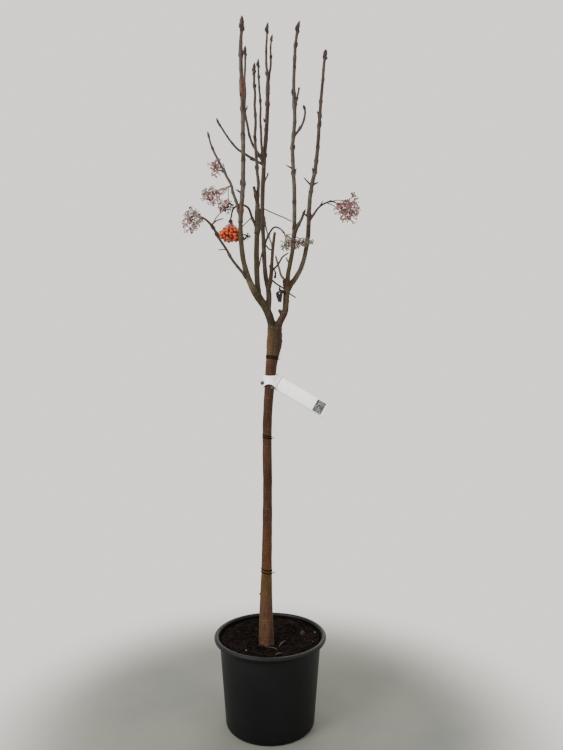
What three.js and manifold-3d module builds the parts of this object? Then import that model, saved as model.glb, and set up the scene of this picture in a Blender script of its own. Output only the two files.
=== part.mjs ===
// A young rowan on a clear stem, bare in late autumn, growing in a black nursery container.
// Millimetres, +Z up. X runs to the right of the front, Y runs back from it.
// The origin is the middle of the container's flat underside.
import * as THREE from "three";
import { mergeVertices } from "three/addons/utils/BufferGeometryUtils.js";
import Module from "manifold-3d";

const wasm = await Module();
wasm.setup();

// ---- Driving dimensions ----

const GAP = 0.3; // left between pieces that touch
const POT = {
  rim: 160, // radius over the rolled lip
  lip: 6.5, // radius of the roll
  top: 144, // radius of the wall under the lip
  foot: 125, // radius of the wall at the foot
  heel: 5, // height of the bevelled edge round the foot
  wall: 3,
  height: 249,
  rollArc: [-120, 170], // the roll's section, in degrees from outside to inside
  rollSteps: 6,
  facets: 36,
};
// The compost is dished round the stem: level out to `dish`, it rises to a crest and droops at the wall.
const SOIL = { height: 227, crest: 240, dish: 60, crestRadius: 122, droop: 3, steps: 4 };
const FLARE = { lobes: 5, depth: 0.12, height: 45 };

// Buds stand alternately up a shoot, two turns to every five, and the shoot kinks a little at each.
const GROWTH = {
  internode: 36,
  first: [0.6, 1.1], // the first internode's length as a share of the others'
  uneven: 0.2,
  turn: (2 / 5) * 2 * Math.PI,
  unsteady: 0.3, // radians by which the turn varies
  kink: 1.1,
};
const BUD = {
  every: 2, // nodes to each bud that is large enough to model
  length: 11,
  width: 4.6,
  sizes: [0.75, 1.25],
  tilt: 0.42, // lean away from the shoot
  seat: 0.7, // how far out in the shoot's radius it is rooted
  middle: 0.42, // how far up its length it is widest
};
const TIP_BUD = { length: 24, width: 7.5, sunk: 2, collar: 2.2, leader: 1.2, slim: 0.5, shootRadius: 3 };
const SPUR = { every: 5, length: 13, radius: 1.7 };
const STALK = {
  ray: 1.2,
  fine: 0.85,
  spread: 0.62,
  knot: 2.4,
  fork: 0.6, // how far out a ray forks
  overlap: 0.06, // how far back down its ray a fine stalk is rooted
  reach: [0.8, 1], // how far towards the head's outline the stalks end
};
const BERRY = { radius: 4.8, packing: 1.5 };
const CLEARANCE = 1.5; // kept between the growth of a mass and every other limb
const SLIM = 2.5; // a shoot thinner than this at its root has no side buds

// Limbs as stations from the base up: [across, back, up, radius].
const LEADERS = {
  trunk: [
    [-11, -21, 217, 22], [-12, -13, 315, 18.8], [-10.5, -6, 430, 15.2], [-8, 0, 640, 13.3],
    [-9, 0, 840, 13.4], [-4.5, 0, 930, 13.7], [4.5, 0, 1030, 17.2], [11, 0, 1078, 22.3],
    [12.5, 0, 1128, 20.5],
  ],
  left: [
    [8, 0, 1105, 13], [2, 0, 1141, 11.7], [-13, -8, 1180, 12], [-32, -18, 1207, 11.4],
    [-50, -29, 1234, 9.4], [-74, -48, 1304, 7.4], [-82, -62, 1409, 6.9], [-75, -69, 1512, 6.4],
    [-75, -80, 1717, 5.8], [-80, -91, 1881, 5.5], [-77, -96, 1941, 4],
  ],
  right: [
    [16, 0, 1105, 12], [26, 0, 1138, 10.4], [42, 2, 1172, 9], [49, 3, 1235, 9.3], [71, 16, 1267, 7.4],
    [93, 30, 1312, 6.9], [109, 48, 1389, 6.8], [118, 59, 1527, 6.4], [135, 64, 1619, 6],
    [150, 74, 1803, 5.1], [163, 82, 1955, 4.3],
  ],
  centre: [
    [-7, -2, 1166, 8.6], [-5, 6, 1225, 8.1], [-14.5, 18, 1277, 6.8], [-20.5, 38, 1373, 6.5],
    [-25, 56, 1486, 6.5], [-20.5, 67, 1622, 6.5], [-12, 75, 1752, 6.2], [-9, 83, 1878, 6],
  ],
  centre_left: [
    [-32, -16, 1205, 8.6], [-37, -11, 1249, 7.9], [-39.5, -10, 1319, 7.9], [-38.5, -10, 1399, 7.8],
    [-36.5, -11, 1479, 7],
  ],
  right_inner: [
    [48, 3, 1236, 7.4], [51, -11, 1277, 6.5], [65, -38, 1354, 6.2], [68, -53, 1494, 5.8],
    [63, -58, 1618, 5.5], [69, -62, 1704, 5.2], [66, -66, 1775, 4.9], [70, -70, 1890, 4.4],
    [76, -74, 1946, 4],
  ],
  cut: [
    [-5, 0, 1232, 6.3], [1, -22, 1259, 6.1], [4, -34, 1290, 5.8], [7, -48, 1336, 5],
    [13.5, -61, 1385, 4],
  ],
};

// Old wood: the limbs' lower parts, up to where their twigs take over. The two that fork out of the
// trunk start at a height of their own, and the rest start where they leave their parent limb.
const BOUGHS = {
  bough_left: { limb: "left", from: 1152, to: 1418 },
  bough_right: { limb: "right", from: 1152, to: 1433 },
  bough_centre: { limb: "centre", to: 1610 },
  bough_centre_left: { limb: "centre_left", to: 1399 },
  bough_right_inner: { limb: "right_inner", to: 1368 },
  bough_cut: { limb: "cut", to: 1400 },
};
const SNAG = { at: 1158, top: [27, -4, 1174], radius: [4.4, 3.6] }; // an old pruning stub on the right bough

// Twig masses. Each grows from one stem: the top of a limb above a height, or its own first shoot.
// A shoot leaves the limb or shoot that it is `on` at the height `at`, runs through its stations
// [across, back, up] and tapers between two radii. It ends in a bud unless it ends "cut" or in a head.
// A head is a spent fruit head: stalks that fork from the shoot's tip to an egg-shaped outline.
const MASSES = {
  twigs_left: {
    stem: { limb: "left", above: 1418 },
    shoots: {
      upper_left: {
        on: "left", at: 1425, radius: [4, 2.2],
        through: [[-93, -56, 1465], [-112, -40, 1526], [-149, -16, 1602], [-170, -5, 1650], [-178, 2, 1676]],
      },
      upper_left_twin: { on: "upper_left", at: 1526, radius: [1.6, 1.1], through: [[-131, -48, 1576]] },
      left_link: { on: "left", at: 1490, radius: [2.2, 1.5], through: [[-90, -64, 1500]] },
      fruit_stalk_a: {
        on: "upper_left", at: 1521, radius: [2, 1.4], through: [[-122, -45, 1515]], ends: "head",
      },
      fruit_stalk_b: {
        on: "fruit_stalk_a", at: 1517, radius: [1.3, 1.1], through: [[-117, -54, 1480]], ends: "head",
      },
      fruit_stalk_c: {
        on: "upper_left", at: 1568, radius: [1.4, 1.1], through: [[-146, -26, 1569]], ends: "head",
      },
    },
    heads: [
      { from: "fruit_stalk_a", centre: [-165, -48, 1491], reach: [24, 22, 24], rays: 6, forks: 2 },
      { from: "fruit_stalk_b", centre: [-125, -54, 1461], reach: [18, 16, 15], rays: 4, forks: 2 },
      { from: "fruit_stalk_c", centre: [-157, -21, 1580], reach: [14, 14, 22], rays: 4, forks: 2 },
    ],
  },
  twigs_left_low: {
    shoots: {
      low_left: {
        on: "left", at: 1247, radius: [3.8, 2.3], ends: "head",
        through: [[-101, -67, 1302], [-138, -101, 1360], [-166, -120, 1400], [-180, -128, 1408]],
      },
      low_left_spur: { on: "low_left", at: 1331, radius: [1.5, 1.1], through: [[-135, -83, 1331]] },
      low_left_stalk: {
        on: "low_left", at: 1388, radius: [1.3, 0.9], ends: "cut",
        through: [[-141, -112, 1416], [-118, -106, 1437]],
      },
      low_left_stalk_b: {
        on: "low_left", at: 1390, radius: [1.2, 0.9], ends: "cut",
        through: [[-143, -109, 1403], [-127, -99, 1412]],
      },
    },
    heads: [{ from: "low_left", centre: [-206, -134, 1399], reach: [25, 24, 31], rays: 7, forks: 3 }],
  },
  twigs_centre_left: {
    stem: { limb: "centre_left", above: 1399, ends: "cut" },
    shoots: {
      fruit_twig: {
        on: "centre_left", at: 1404, radius: [3.1, 1.8], ends: "head",
        through: [[-53, -13, 1442], [-64, -16, 1465], [-84, -14, 1474], [-106, -6, 1467], [-116, 3, 1434]],
      },
      centre_left_spur: {
        on: "centre_left", at: 1473, radius: [3.4, 2.8], ends: "cut", through: [[-47, -22, 1525]],
      },
      centre_left_top: {
        on: "centre_left", at: 1469, radius: [5.2, 3.5],
        through: [[-35, -13, 1538], [-43, -18, 1645], [-43, -22, 1726], [-46, -30, 1856]],
      },
      withered_stalk: {
        on: "fruit_twig", at: 1440, radius: [1.2, 0.9], ends: "cut",
        through: [[-92, 13, 1405], [-68, 13, 1393]],
      },
    },
    heads: [
      { from: "fruit_twig", centre: [-115, 6, 1396], reach: [21, 18, 18], rays: 8, forks: 4, ripe: true },
    ],
  },
  twigs_centre: {
    stem: { limb: "centre", above: 1610, ends: "cut" },
    shoots: {
      crossing: {
        on: "centre", at: 1619, radius: [3.4, 2.2],
        through: [[-55, 61, 1636], [-97, 53, 1660], [-131, 50, 1700], [-155, 48, 1738]],
      },
      centre_west: {
        on: "centre", at: 1622, radius: [4.2, 3],
        through: [[-43, 51, 1654], [-63, 34, 1697], [-72, 14, 1747], [-74, -3, 1839], [-73, -14, 1914]],
      },
      centre_west_inner: {
        on: "centre", at: 1626, radius: [4.1, 2.9],
        through: [[-28, 51, 1676], [-30, 42, 1747], [-33, 34, 1834], [-37, 26, 1901]],
      },
      centre_top: {
        on: "centre", at: 1865, radius: [4.4, 3],
        through: [[-13.5, 80, 1926], [-14, 74, 1977], [-12, 67, 2027]],
      },
      centre_top_east: {
        on: "centre", at: 1865, radius: [3.9, 2.8],
        through: [[-1, 93, 1934], [-1, 102, 1991], [1, 110, 2024]],
      },
      centre_east_spur: { on: "centre", at: 1710, radius: [2, 1.4], through: [[4, 61, 1734]] },
    },
    heads: [],
  },
  twigs_hook: {
    shoots: {
      hook: {
        on: "centre", at: 1363, radius: [3.3, 1.9], ends: "head",
        through: [
          [-10, 32, 1391], [0, 29, 1410], [11, 26, 1420], [27, 19, 1414], [38, 13, 1403], [42, 10, 1393],
        ],
      },
    },
    heads: [
      { from: "hook", centre: [58, 6, 1366], reach: [26, 12, 17], rays: 6, forks: 2 },
      { from: "hook", centre: [96, 0, 1370], reach: [27, 8, 8], rays: 2, forks: 3 },
    ],
  },
  twigs_right: {
    stem: { limb: "right", above: 1433 },
    shoots: {
      fruit_arch: {
        on: "right", at: 1443, radius: [3.8, 1.9], ends: "head",
        through: [[130, 50, 1469], [144, 45, 1487], [161, 42, 1497], [179, 40, 1501], [195, 38, 1495]],
      },
      arch_bud_twig: { on: "fruit_arch", at: 1483, radius: [1.9, 1.5], through: [[151, 38, 1497]] },
      right_spur: { on: "right", at: 1553, radius: [2.2, 1.5], through: [[103, 58, 1573]] },
      right_spur_low: { on: "right", at: 1555, radius: [2, 1.5], through: [[136, 51, 1559]] },
      right_link: { on: "right", at: 1457, radius: [2, 1.5], through: [[98, 48, 1467]] },
      fruit_wisp: {
        on: "fruit_arch", at: "tip", radius: [1.3, 0.9], ends: "cut",
        through: [[226, 37, 1498], [245, 35, 1520]],
      },
    },
    heads: [{ from: "fruit_arch", centre: [228, 35, 1472], reach: [35, 30, 30], rays: 9, forks: 3 }],
  },
  twigs_right_inner: {
    stem: { limb: "right_inner", above: 1368 },
    shoots: {
      inner_low: {
        on: "right_inner", at: 1376, radius: [3.4, 2.5],
        through: [[78, -56, 1401], [87, -64, 1420], [93, -70, 1434]],
      },
      inner_mid: {
        on: "right_inner", at: 1651, radius: [3.1, 2.4],
        through: [[79, -67, 1668], [91, -74, 1686], [97, -78, 1709], [96, -82, 1720]],
      },
      inner_high: {
        on: "right_inner", at: 1730, radius: [2.7, 2.1], through: [[75, -67, 1752], [80, -74, 1778]],
      },
      inner_spur: { on: "right_inner", at: 1563, radius: [1.9, 1.4], through: [[50, -61, 1569]] },
    },
    heads: [],
  },
  twig_inner: {
    shoots: {
      inner_fine: {
        on: "cut", at: 1281, radius: [1.9, 1.3],
        through: [[21, -29, 1299], [36, -24, 1323], [47, -19, 1333]],
      },
    },
    heads: [],
  },
  twig_dead: {
    shoots: {
      straw: {
        on: "cut", at: 1261, radius: [1.6, 1.2], ends: "cut", through: [[36, 29, 1242], [74, 64, 1220]],
      },
    },
    heads: [],
  },
  twig_strand: {
    shoots: {
      strand: {
        on: "centre", at: 1486, radius: [1.3, 1.1], ends: "cut", through: [[19, 6, 1452], [60, -42, 1420]],
      },
    },
    heads: [],
  },
  twig_fork: {
    shoots: {
      fork_fine: {
        on: "right", at: 1250, radius: [2, 1.4], through: [[33, 19, 1277], [24, 24, 1300], [16, 29, 1332]],
      },
    },
    heads: [],
  },
  dried_stalk: {
    shoots: {
      withered: {
        on: "right", at: 1222, radius: [2.2, 1.8], ends: "head", through: [[34, -13, 1230], [29, -13, 1225]],
      },
    },
    heads: [{ from: "withered", centre: [27, -13, 1209], reach: [7, 6, 13], rays: 3, forks: 2 }],
  },
};

// Black ties wound round the trunk, each with a loose tail.
const TIES = {
  band: 11, // height of the winding
  thickness: 2.2,
  tail: [12, 3, 2.4],
  droop: THREE.MathUtils.degToRad(-20),
  heights: { tie_top: 1040, tie_middle: 812, tie_low: 425 },
};

// A blank plant tag: a strip that hangs out from its wrap round the trunk.
const TAG = {
  height: 972,
  wrap: 36, // height of the wrap
  thickness: 1,
  strip: [148, 43], // length and width
  neck: [16, 20], // length and width of the narrow part between wrap and strip
  sunk: 3, // how far the neck starts inside the wrap, and the strip inside the neck
  forward: 0.3, // how far in front of the trunk's middle it starts, as a share of the radius
  slope: THREE.MathUtils.degToRad(29.5),
  swing: THREE.MathUtils.degToRad(-5),
};

// Sides of the limbs' cross-sections, and the distances between their rings.
const FACETS = { trunk: 12, bough: 8, stem: 5, shoot: 4, stalk: 3 };
const RINGS = { trunk: 36, bough: 28, shoot: 32 };

const COLOURS = {
  bark: { color: 0x54402f, roughness: 0.8, metalness: 0 },
  shoot: { color: 0x4a3c33, roughness: 0.65, metalness: 0 },
  plastic: { color: 0x17181a, roughness: 0.55, metalness: 0 },
  compost: { color: 0x231a15, roughness: 0.95, metalness: 0 },
  tie: { color: 0x14120f, roughness: 0.7, metalness: 0 },
  tag: { color: 0xe9e8ee, roughness: 0.5, metalness: 0 },
};

// ---- Solids ----

function solidOf(geometry) {
  geometry.deleteAttribute("normal");
  geometry.deleteAttribute("uv");
  const merged = mergeVertices(geometry, 1e-4);
  const vertProperties = new Float32Array(merged.attributes.position.array);
  const triVerts = new Uint32Array(merged.index.array);
  return new wasm.Manifold(new wasm.Mesh({ numProp: 3, vertProperties, triVerts }));
}

function geometryOf(solid) {
  const mesh = solid.getMesh();
  const geometry = new THREE.BufferGeometry();
  geometry.setAttribute("position", new THREE.BufferAttribute(new Float32Array(mesh.vertProperties), 3));
  geometry.setIndex(new THREE.BufferAttribute(new Uint32Array(mesh.triVerts), 1));
  return geometry;
}

function joined(solids) {
  return solids.reduce((whole, piece) => whole.add(piece));
}

// A cut can leave loose scraps, so only the body with the most material is kept.
function mainBody(solid) {
  return solid.decompose().reduce((best, body) => (body.volume() > best.volume() ? body : best));
}

function boxesMeet(a, b) {
  const [p, q] = [a.boundingBox(), b.boundingBox()];
  return [0, 1, 2].every((axis) => p.min[axis] <= q.max[axis] && q.min[axis] <= p.max[axis]);
}

function clearOf(solid, neighbours) {
  const near = neighbours.filter((other) => boxesMeet(solid, other));
  return mainBody(near.reduce((rest, other) => rest.subtract(other), solid));
}

// ---- Limbs ----

// Repeatable draws between 0 and 1.
function draws(seed) {
  let state = 1234567 + 7654321 * seed;
  return () => {
    state = (state * 16807) % 2147483647;
    return state / 2147483647;
  };
}

const jitter = (draw, amount) => (2 * draw() - 1) * amount;

const within = ([low, high], draw) => THREE.MathUtils.lerp(low, high, draw());

// Places and radii along a smooth line through stations, with rings about `spacing` apart.
function sampled(stations, spacing) {
  const points = stations.map(([x, y, z]) => new THREE.Vector3(x, y, z));
  const curve = new THREE.CatmullRomCurve3(points);
  const spans = points.length - 1;
  const samples = [{ point: points[0], radius: stations[0][3] }];
  for (let span = 0; span < spans; span += 1) {
    const steps = Math.max(1, Math.round(points[span].distanceTo(points[span + 1]) / spacing));
    for (let step = 1; step <= steps; step += 1) {
      const t = step / steps;
      const radius = THREE.MathUtils.lerp(stations[span][3], stations[span + 1][3], t);
      samples.push({ point: curve.getPoint((span + t) / spans), radius });
    }
  }
  return samples;
}

function between(a, b, t) {
  return { point: a.point.clone().lerp(b.point, t), radius: THREE.MathUtils.lerp(a.radius, b.radius, t) };
}

// The place where a limb passes a height, or its tip.
function atHeight(samples, height) {
  for (let i = 1; i < samples.length; i += 1) {
    const [low, high] = [samples[i - 1].point.z, samples[i].point.z];
    if ((low - height) * (high - height) <= 0 && low !== high) {
      return between(samples[i - 1], samples[i], (height - low) / (high - low));
    }
  }
  return samples[samples.length - 1];
}

// The stretch of a rising limb between two heights.
function stretch(samples, from, to) {
  const last = samples[samples.length - 1];
  const start = samples[0].point.z >= from ? samples[0] : atHeight(samples, from);
  const end = last.point.z <= to ? last : atHeight(samples, to);
  const inside = samples.filter(({ point }) => point.z > start.point.z + 1 && point.z < end.point.z - 1);
  return [start, ...inside, end];
}

// The same samples with a larger radius, for cutting neighbours clear.
function grown(samples, extra) {
  return samples.map(({ point, radius }) => ({ point, radius: radius + extra }));
}

// Cross directions carried along a line without twisting.
function framesAlong(points) {
  let across = null;
  return points.map((point, i) => {
    const before = points[Math.max(i - 1, 0)];
    const after = points[Math.min(i + 1, points.length - 1)];
    const along = after.clone().sub(before).normalize();
    const level = Math.abs(along.x) < 0.9 ? new THREE.Vector3(1, 0, 0) : new THREE.Vector3(0, 1, 0);
    const guide = across ?? level;
    across = guide.clone().addScaledVector(along, -guide.dot(along)).normalize();
    return { along, across, back: across.clone().cross(along) };
  });
}

// A closed tube through the samples: a unit cylinder whose rings are laid along the line.
function tube(samples, sides, swell = () => 1) {
  const rings = samples.length - 1;
  const geometry = new THREE.CylinderGeometry(1, 1, 1, sides, rings);
  const frames = framesAlong(samples.map(({ point }) => point));
  const place = geometry.attributes.position;
  for (let i = 0; i < place.count; i += 1) {
    const ring = Math.round((place.getY(i) + 0.5) * rings);
    const { point, radius } = samples[ring];
    const { across, back } = frames[ring];
    const size = radius * swell(point, Math.atan2(place.getZ(i), place.getX(i)));
    const vertex = point.clone();
    vertex.addScaledVector(across, place.getX(i) * size);
    vertex.addScaledVector(back, place.getZ(i) * size);
    place.setXYZ(i, vertex.x, vertex.y, vertex.z);
  }
  return solidOf(geometry);
}

function stick(from, to, radii) {
  return tube([{ point: from, radius: radii[0] }, { point: to, radius: radii[1] }], FACETS.stalk);
}

// Nodes up a shoot: the places of its buds, each turned on from the last.
function nodesAlong(samples, draw) {
  const nodes = [];
  const frames = framesAlong(samples.map(({ point }) => point));
  let next = GROWTH.internode * within(GROWTH.first, draw);
  let turn = draw() * 2 * Math.PI;
  let passed = 0;
  for (let i = 1; i < samples.length; i += 1) {
    const length = samples[i].point.distanceTo(samples[i - 1].point);
    while (passed + length >= next) {
      const { point, radius } = between(samples[i - 1], samples[i], (next - passed) / length);
      const { along, across, back } = frames[i];
      const outward = across.clone().multiplyScalar(Math.cos(turn)).addScaledVector(back, Math.sin(turn));
      nodes.push({ point, radius, along, outward });
      next += GROWTH.internode * (1 + jitter(draw, GROWTH.uneven));
      turn += GROWTH.turn + jitter(draw, GROWTH.unsteady);
    }
    passed += length;
  }
  return nodes;
}

// Each ring near a node is pushed a little to the side away from its bud, which kinks the shoot.
function kinked(samples, draw) {
  const nodes = nodesAlong(samples, draw);
  return samples.map(({ point, radius }, i) => {
    const isEnd = i === 0 || i === samples.length - 1;
    const near = nodes.find((node) => node.point.distanceTo(point) < GROWTH.internode / 2);
    if (isEnd || !near) return { point, radius };
    return { point: point.clone().addScaledVector(near.outward, -GROWTH.kink), radius };
  });
}

const limbs = {};
Object.entries(LEADERS).forEach(([name, stations]) => {
  limbs[name] = sampled(stations, name === "trunk" ? RINGS.trunk : RINGS.bough);
});

function shootSamples({ on, at, through, radius }, draw) {
  const parent = limbs[on];
  const root = at === "tip" ? parent[parent.length - 1] : atHeight(parent, at);
  const places = [root.point.toArray(), ...through];
  const stations = places.map((place, i) => {
    const t = i / (places.length - 1);
    return [...place, THREE.MathUtils.lerp(radius[0], radius[1], t)];
  });
  return kinked(sampled(stations, RINGS.shoot), draw);
}

Object.values(MASSES).flatMap(({ shoots }) => Object.entries(shoots)).forEach(([name, shoot], i) => {
  limbs[name] = shootSamples(shoot, draws(i + 1));
});

// ---- Trunk and boughs ----

function flared(point, angle) {
  const rise = point.z - LEADERS.trunk[0][2];
  return 1 + FLARE.depth * Math.exp(-rise / FLARE.height) * Math.cos(FLARE.lobes * angle);
}

// The trunk runs into the first stretch of both limbs of its fork.
function trunkTubes(extra) {
  const forks = ["bough_left", "bough_right"].map((name) => {
    const { limb, from } = BOUGHS[name];
    return tube(grown(stretch(limbs[limb], 0, from), extra), FACETS.bough);
  });
  return [tube(grown(limbs.trunk, extra), FACETS.trunk, flared), ...forks];
}

function snag() {
  const root = atHeight(limbs.right, SNAG.at);
  return stick(root.point, new THREE.Vector3(...SNAG.top), SNAG.radius);
}

// The trunk ends in a flat cut on the compost.
const wood = { trunk: joined(trunkTubes(0)).trimByPlane([0, 0, 1], SOIL.height + GAP) };
const trunkSpace = trunkTubes(GAP);
const woodSpaces = [...trunkSpace];
Object.entries(BOUGHS).forEach(([name, { limb, from, to }]) => {
  const samples = stretch(limbs[limb], from ? from + GAP : 0, to);
  const bough = tube(samples, FACETS.bough);
  wood[name] = clearOf(name === "bough_right" ? bough.add(snag()) : bough, woodSpaces);
  woodSpaces.push(tube(grown(samples, GAP), FACETS.bough));
});

// ---- Twig masses ----

// True where a place keeps its distance from every limb but the ones named.
function isClearPlace(place, own) {
  return Object.entries(limbs).every(([name, samples]) => {
    if (own.includes(name)) return true;
    return samples.every(({ point, radius }, i) => {
      const next = samples[Math.min(i + 1, samples.length - 1)].point;
      const near = new THREE.Line3(point, next).closestPointToPoint(place, true, new THREE.Vector3());
      return near.distanceTo(place) > radius + CLEARANCE;
    });
  });
}

function ball(geometry, { x, y, z }) {
  return solidOf(geometry.translate(x, y, z));
}

// A bud: a slim pointed body of eight faces that stands on its root.
function bud(root, direction, length, width) {
  const geometry = new THREE.OctahedronGeometry(1);
  geometry.scale(width / 2, length / 2, width / 2);
  geometry.applyQuaternion(new THREE.Quaternion().setFromUnitVectors(new THREE.Vector3(0, 1, 0), direction));
  return ball(geometry, root.clone().addScaledVector(direction, length * BUD.middle));
}

function sideBud({ point, radius, along, outward }, draw) {
  const size = within(BUD.sizes, draw);
  const direction = along.clone().addScaledVector(outward, BUD.tilt).normalize();
  const root = point.clone().addScaledVector(outward, radius * BUD.seat);
  return bud(root, direction, BUD.length * size, BUD.width * size);
}

function tipBud(samples, size) {
  const last = samples[samples.length - 1];
  const direction = last.point.clone().sub(samples[samples.length - 2].point).normalize();
  const root = last.point.clone().addScaledVector(direction, -TIP_BUD.sunk);
  const width = Math.max(TIP_BUD.width * size, TIP_BUD.collar * last.radius);
  return bud(root, direction, TIP_BUD.length * size, width);
}

// Side buds and short spurs up a shoot, where they stay clear of the other limbs.
function sideGrowth(samples, draw, isClear) {
  return nodesAlong(samples, draw).flatMap((node, i) => {
    const isSpur = i % SPUR.every === SPUR.every - 1;
    const reach = node.point.clone().addScaledVector(node.outward, isSpur ? SPUR.length : BUD.width);
    if (!isClear(reach)) return [];
    if (isSpur) {
      const tip = reach.addScaledVector(node.along, SPUR.length / 2);
      return [stick(node.point, tip, [SPUR.radius, SPUR.radius])];
    }
    return i % BUD.every === 0 ? [sideBud(node, draw)] : [];
  });
}

// Directions spread evenly over a ball.
function ballDirection(index, count) {
  const height = 1 - (2 * (index + 0.5)) / count;
  const turn = index * Math.PI * (3 - Math.sqrt(5));
  const level = Math.sqrt(1 - height * height);
  return new THREE.Vector3(level * Math.cos(turn), level * Math.sin(turn), height);
}

function headPlace({ centre, reach }, direction, share) {
  return direction.clone().multiply(new THREE.Vector3(...reach)).multiplyScalar(share)
    .add(new THREE.Vector3(...centre));
}

// A berry at the end of a ray with others packed round it.
function berryBunch(tip, count, draw) {
  const turn = draw() * 2 * Math.PI;
  const around = Array.from({ length: count }, (_, i) => {
    const direction = ballDirection(i, count).applyAxisAngle(new THREE.Vector3(0, 0, 1), turn);
    return tip.clone().addScaledVector(direction, BERRY.radius * BERRY.packing);
  });
  return [tip, ...around].map((place) => ball(new THREE.IcosahedronGeometry(BERRY.radius), place));
}

// Rays from the shoot's tip. Each forks into fine stalks, or bears a bunch of berries on a ripe head.
function fruitHead(head, hub, draw, isClear) {
  const pieces = [ball(new THREE.OctahedronGeometry(STALK.knot), hub)];
  for (let ray = 0; ray < head.rays; ray += 1) {
    const direction = ballDirection(ray, head.rays);
    const end = headPlace(head, direction, STALK.reach[0]);
    const fork = head.ripe ? end : hub.clone().lerp(end, STALK.fork);
    if (isClear(fork)) {
      pieces.push(stick(hub, fork, [STALK.ray, STALK.ray]));
      if (head.ripe) pieces.push(...berryBunch(fork, head.forks, draw));
      else pieces.push(...fineStalks(head, hub, fork, direction, draw, isClear));
    }
  }
  return pieces;
}

function fineStalks(head, hub, fork, direction, draw, isClear) {
  const root = fork.clone().lerp(hub, STALK.overlap);
  const tips = Array.from({ length: head.forks }, () => {
    const side = new THREE.Vector3(jitter(draw, 1), jitter(draw, 1), jitter(draw, 1));
    const spread = direction.clone().addScaledVector(side, STALK.spread).normalize();
    return headPlace(head, spread, within(STALK.reach, draw));
  });
  return tips.filter(isClear).map((tip) => stick(root, tip, [STALK.fine, STALK.fine]));
}

function massSolid({ stem, shoots, heads }, draw) {
  const own = [...Object.keys(shoots), ...(stem ? [stem.limb] : [])];
  const isClear = (place) => isClearPlace(place, own);
  const pieces = [];
  if (stem) {
    const samples = stretch(limbs[stem.limb], stem.above + GAP, Infinity);
    pieces.push(tube(samples, FACETS.stem), ...sideGrowth(samples, draw, isClear));
    if (!stem.ends) pieces.push(tipBud(samples, TIP_BUD.leader));
  }
  Object.entries(shoots).forEach(([name, { radius, ends }]) => {
    const isSlim = radius[0] < SLIM;
    pieces.push(tube(limbs[name], isSlim ? FACETS.stalk : FACETS.shoot));
    if (!isSlim) pieces.push(...sideGrowth(limbs[name], draw, isClear));
    if (!ends) pieces.push(tipBud(limbs[name], isSlim ? TIP_BUD.slim : radius[1] / TIP_BUD.shootRadius));
  });
  heads.forEach((head) => {
    const samples = limbs[head.from];
    pieces.push(...fruitHead(head, samples[samples.length - 1].point, draw, isClear));
  });
  return clearOf(joined(pieces), woodSpaces);
}

const masses = {};
Object.entries(MASSES).forEach(([name, mass], i) => {
  masses[name] = massSolid(mass, draws(100 + i));
});

// ---- Container and compost ----

function turned(profile) {
  const points = profile.map(([radius, height]) => new THREE.Vector2(radius, height));
  return new THREE.LatheGeometry(points, POT.facets).rotateX(Math.PI / 2);
}

const shoulder = POT.height - 2 * POT.lip; // where the wall meets the roll

// Radius of the wall's inner face at a height.
function innerRadius(height) {
  const t = (height - POT.wall) / (shoulder - POT.wall);
  return THREE.MathUtils.lerp(POT.foot, POT.top, t) - POT.wall;
}

function lipArc() {
  return Array.from({ length: POT.rollSteps + 1 }, (_, i) => {
    const angle = THREE.MathUtils.degToRad(THREE.MathUtils.lerp(...POT.rollArc, i / POT.rollSteps));
    return [POT.rim - POT.lip + POT.lip * Math.cos(angle), POT.height - POT.lip + POT.lip * Math.sin(angle)];
  });
}

function potGeometry() {
  return turned([
    [0, 0],
    [POT.foot - POT.heel, 0],
    [POT.foot, POT.heel],
    [POT.top, shoulder],
    ...lipArc(),
    [innerRadius(shoulder), shoulder],
    [innerRadius(POT.wall), POT.wall],
    [0, POT.wall],
  ]);
}

// The compost's rise from its dish to its crest, from the outside in.
function bank() {
  return Array.from({ length: SOIL.steps + 1 }, (_, i) => {
    const share = 1 - i / SOIL.steps;
    const radius = THREE.MathUtils.lerp(SOIL.dish, SOIL.crestRadius, share);
    return [radius, THREE.MathUtils.lerp(SOIL.height, SOIL.crest, THREE.MathUtils.smoothstep(share, 0, 1))];
  });
}

function compostGeometry() {
  const bottom = POT.wall + GAP;
  const edge = SOIL.crest - SOIL.droop;
  return turned([
    [0, bottom],
    [innerRadius(bottom) - GAP, bottom],
    [innerRadius(shoulder) - GAP, edge],
    ...bank(),
    [0, SOIL.height],
  ]);
}

// ---- Ties and tag ----

// A band wound round the trunk at a height. It is cut clear of the bark afterwards.
function band(height, tall, thickness) {
  const samples = stretch(limbs.trunk, height - tall / 2, height + tall / 2);
  return tube(grown(samples, GAP + thickness), FACETS.trunk);
}

// A flat bar that starts at a place and runs to the right, sloping down and swung sideways.
function bar([length, thickness, width], { x, y, z }, slope, swing) {
  const geometry = new THREE.BoxGeometry(length, thickness, width).translate(length / 2, 0, 0);
  geometry.applyMatrix4(new THREE.Matrix4().makeRotationFromEuler(new THREE.Euler(0, slope, swing, "ZYX")));
  return solidOf(geometry.translate(x, y, z));
}

function tieSolid(height) {
  const { point, radius } = atHeight(limbs.trunk, height);
  const side = new THREE.Vector3(point.x + radius, 0, height);
  const winding = band(height, TIES.band, TIES.thickness);
  return clearOf(winding.add(bar(TIES.tail, side, TIES.droop, 0)), trunkSpace);
}

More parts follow.
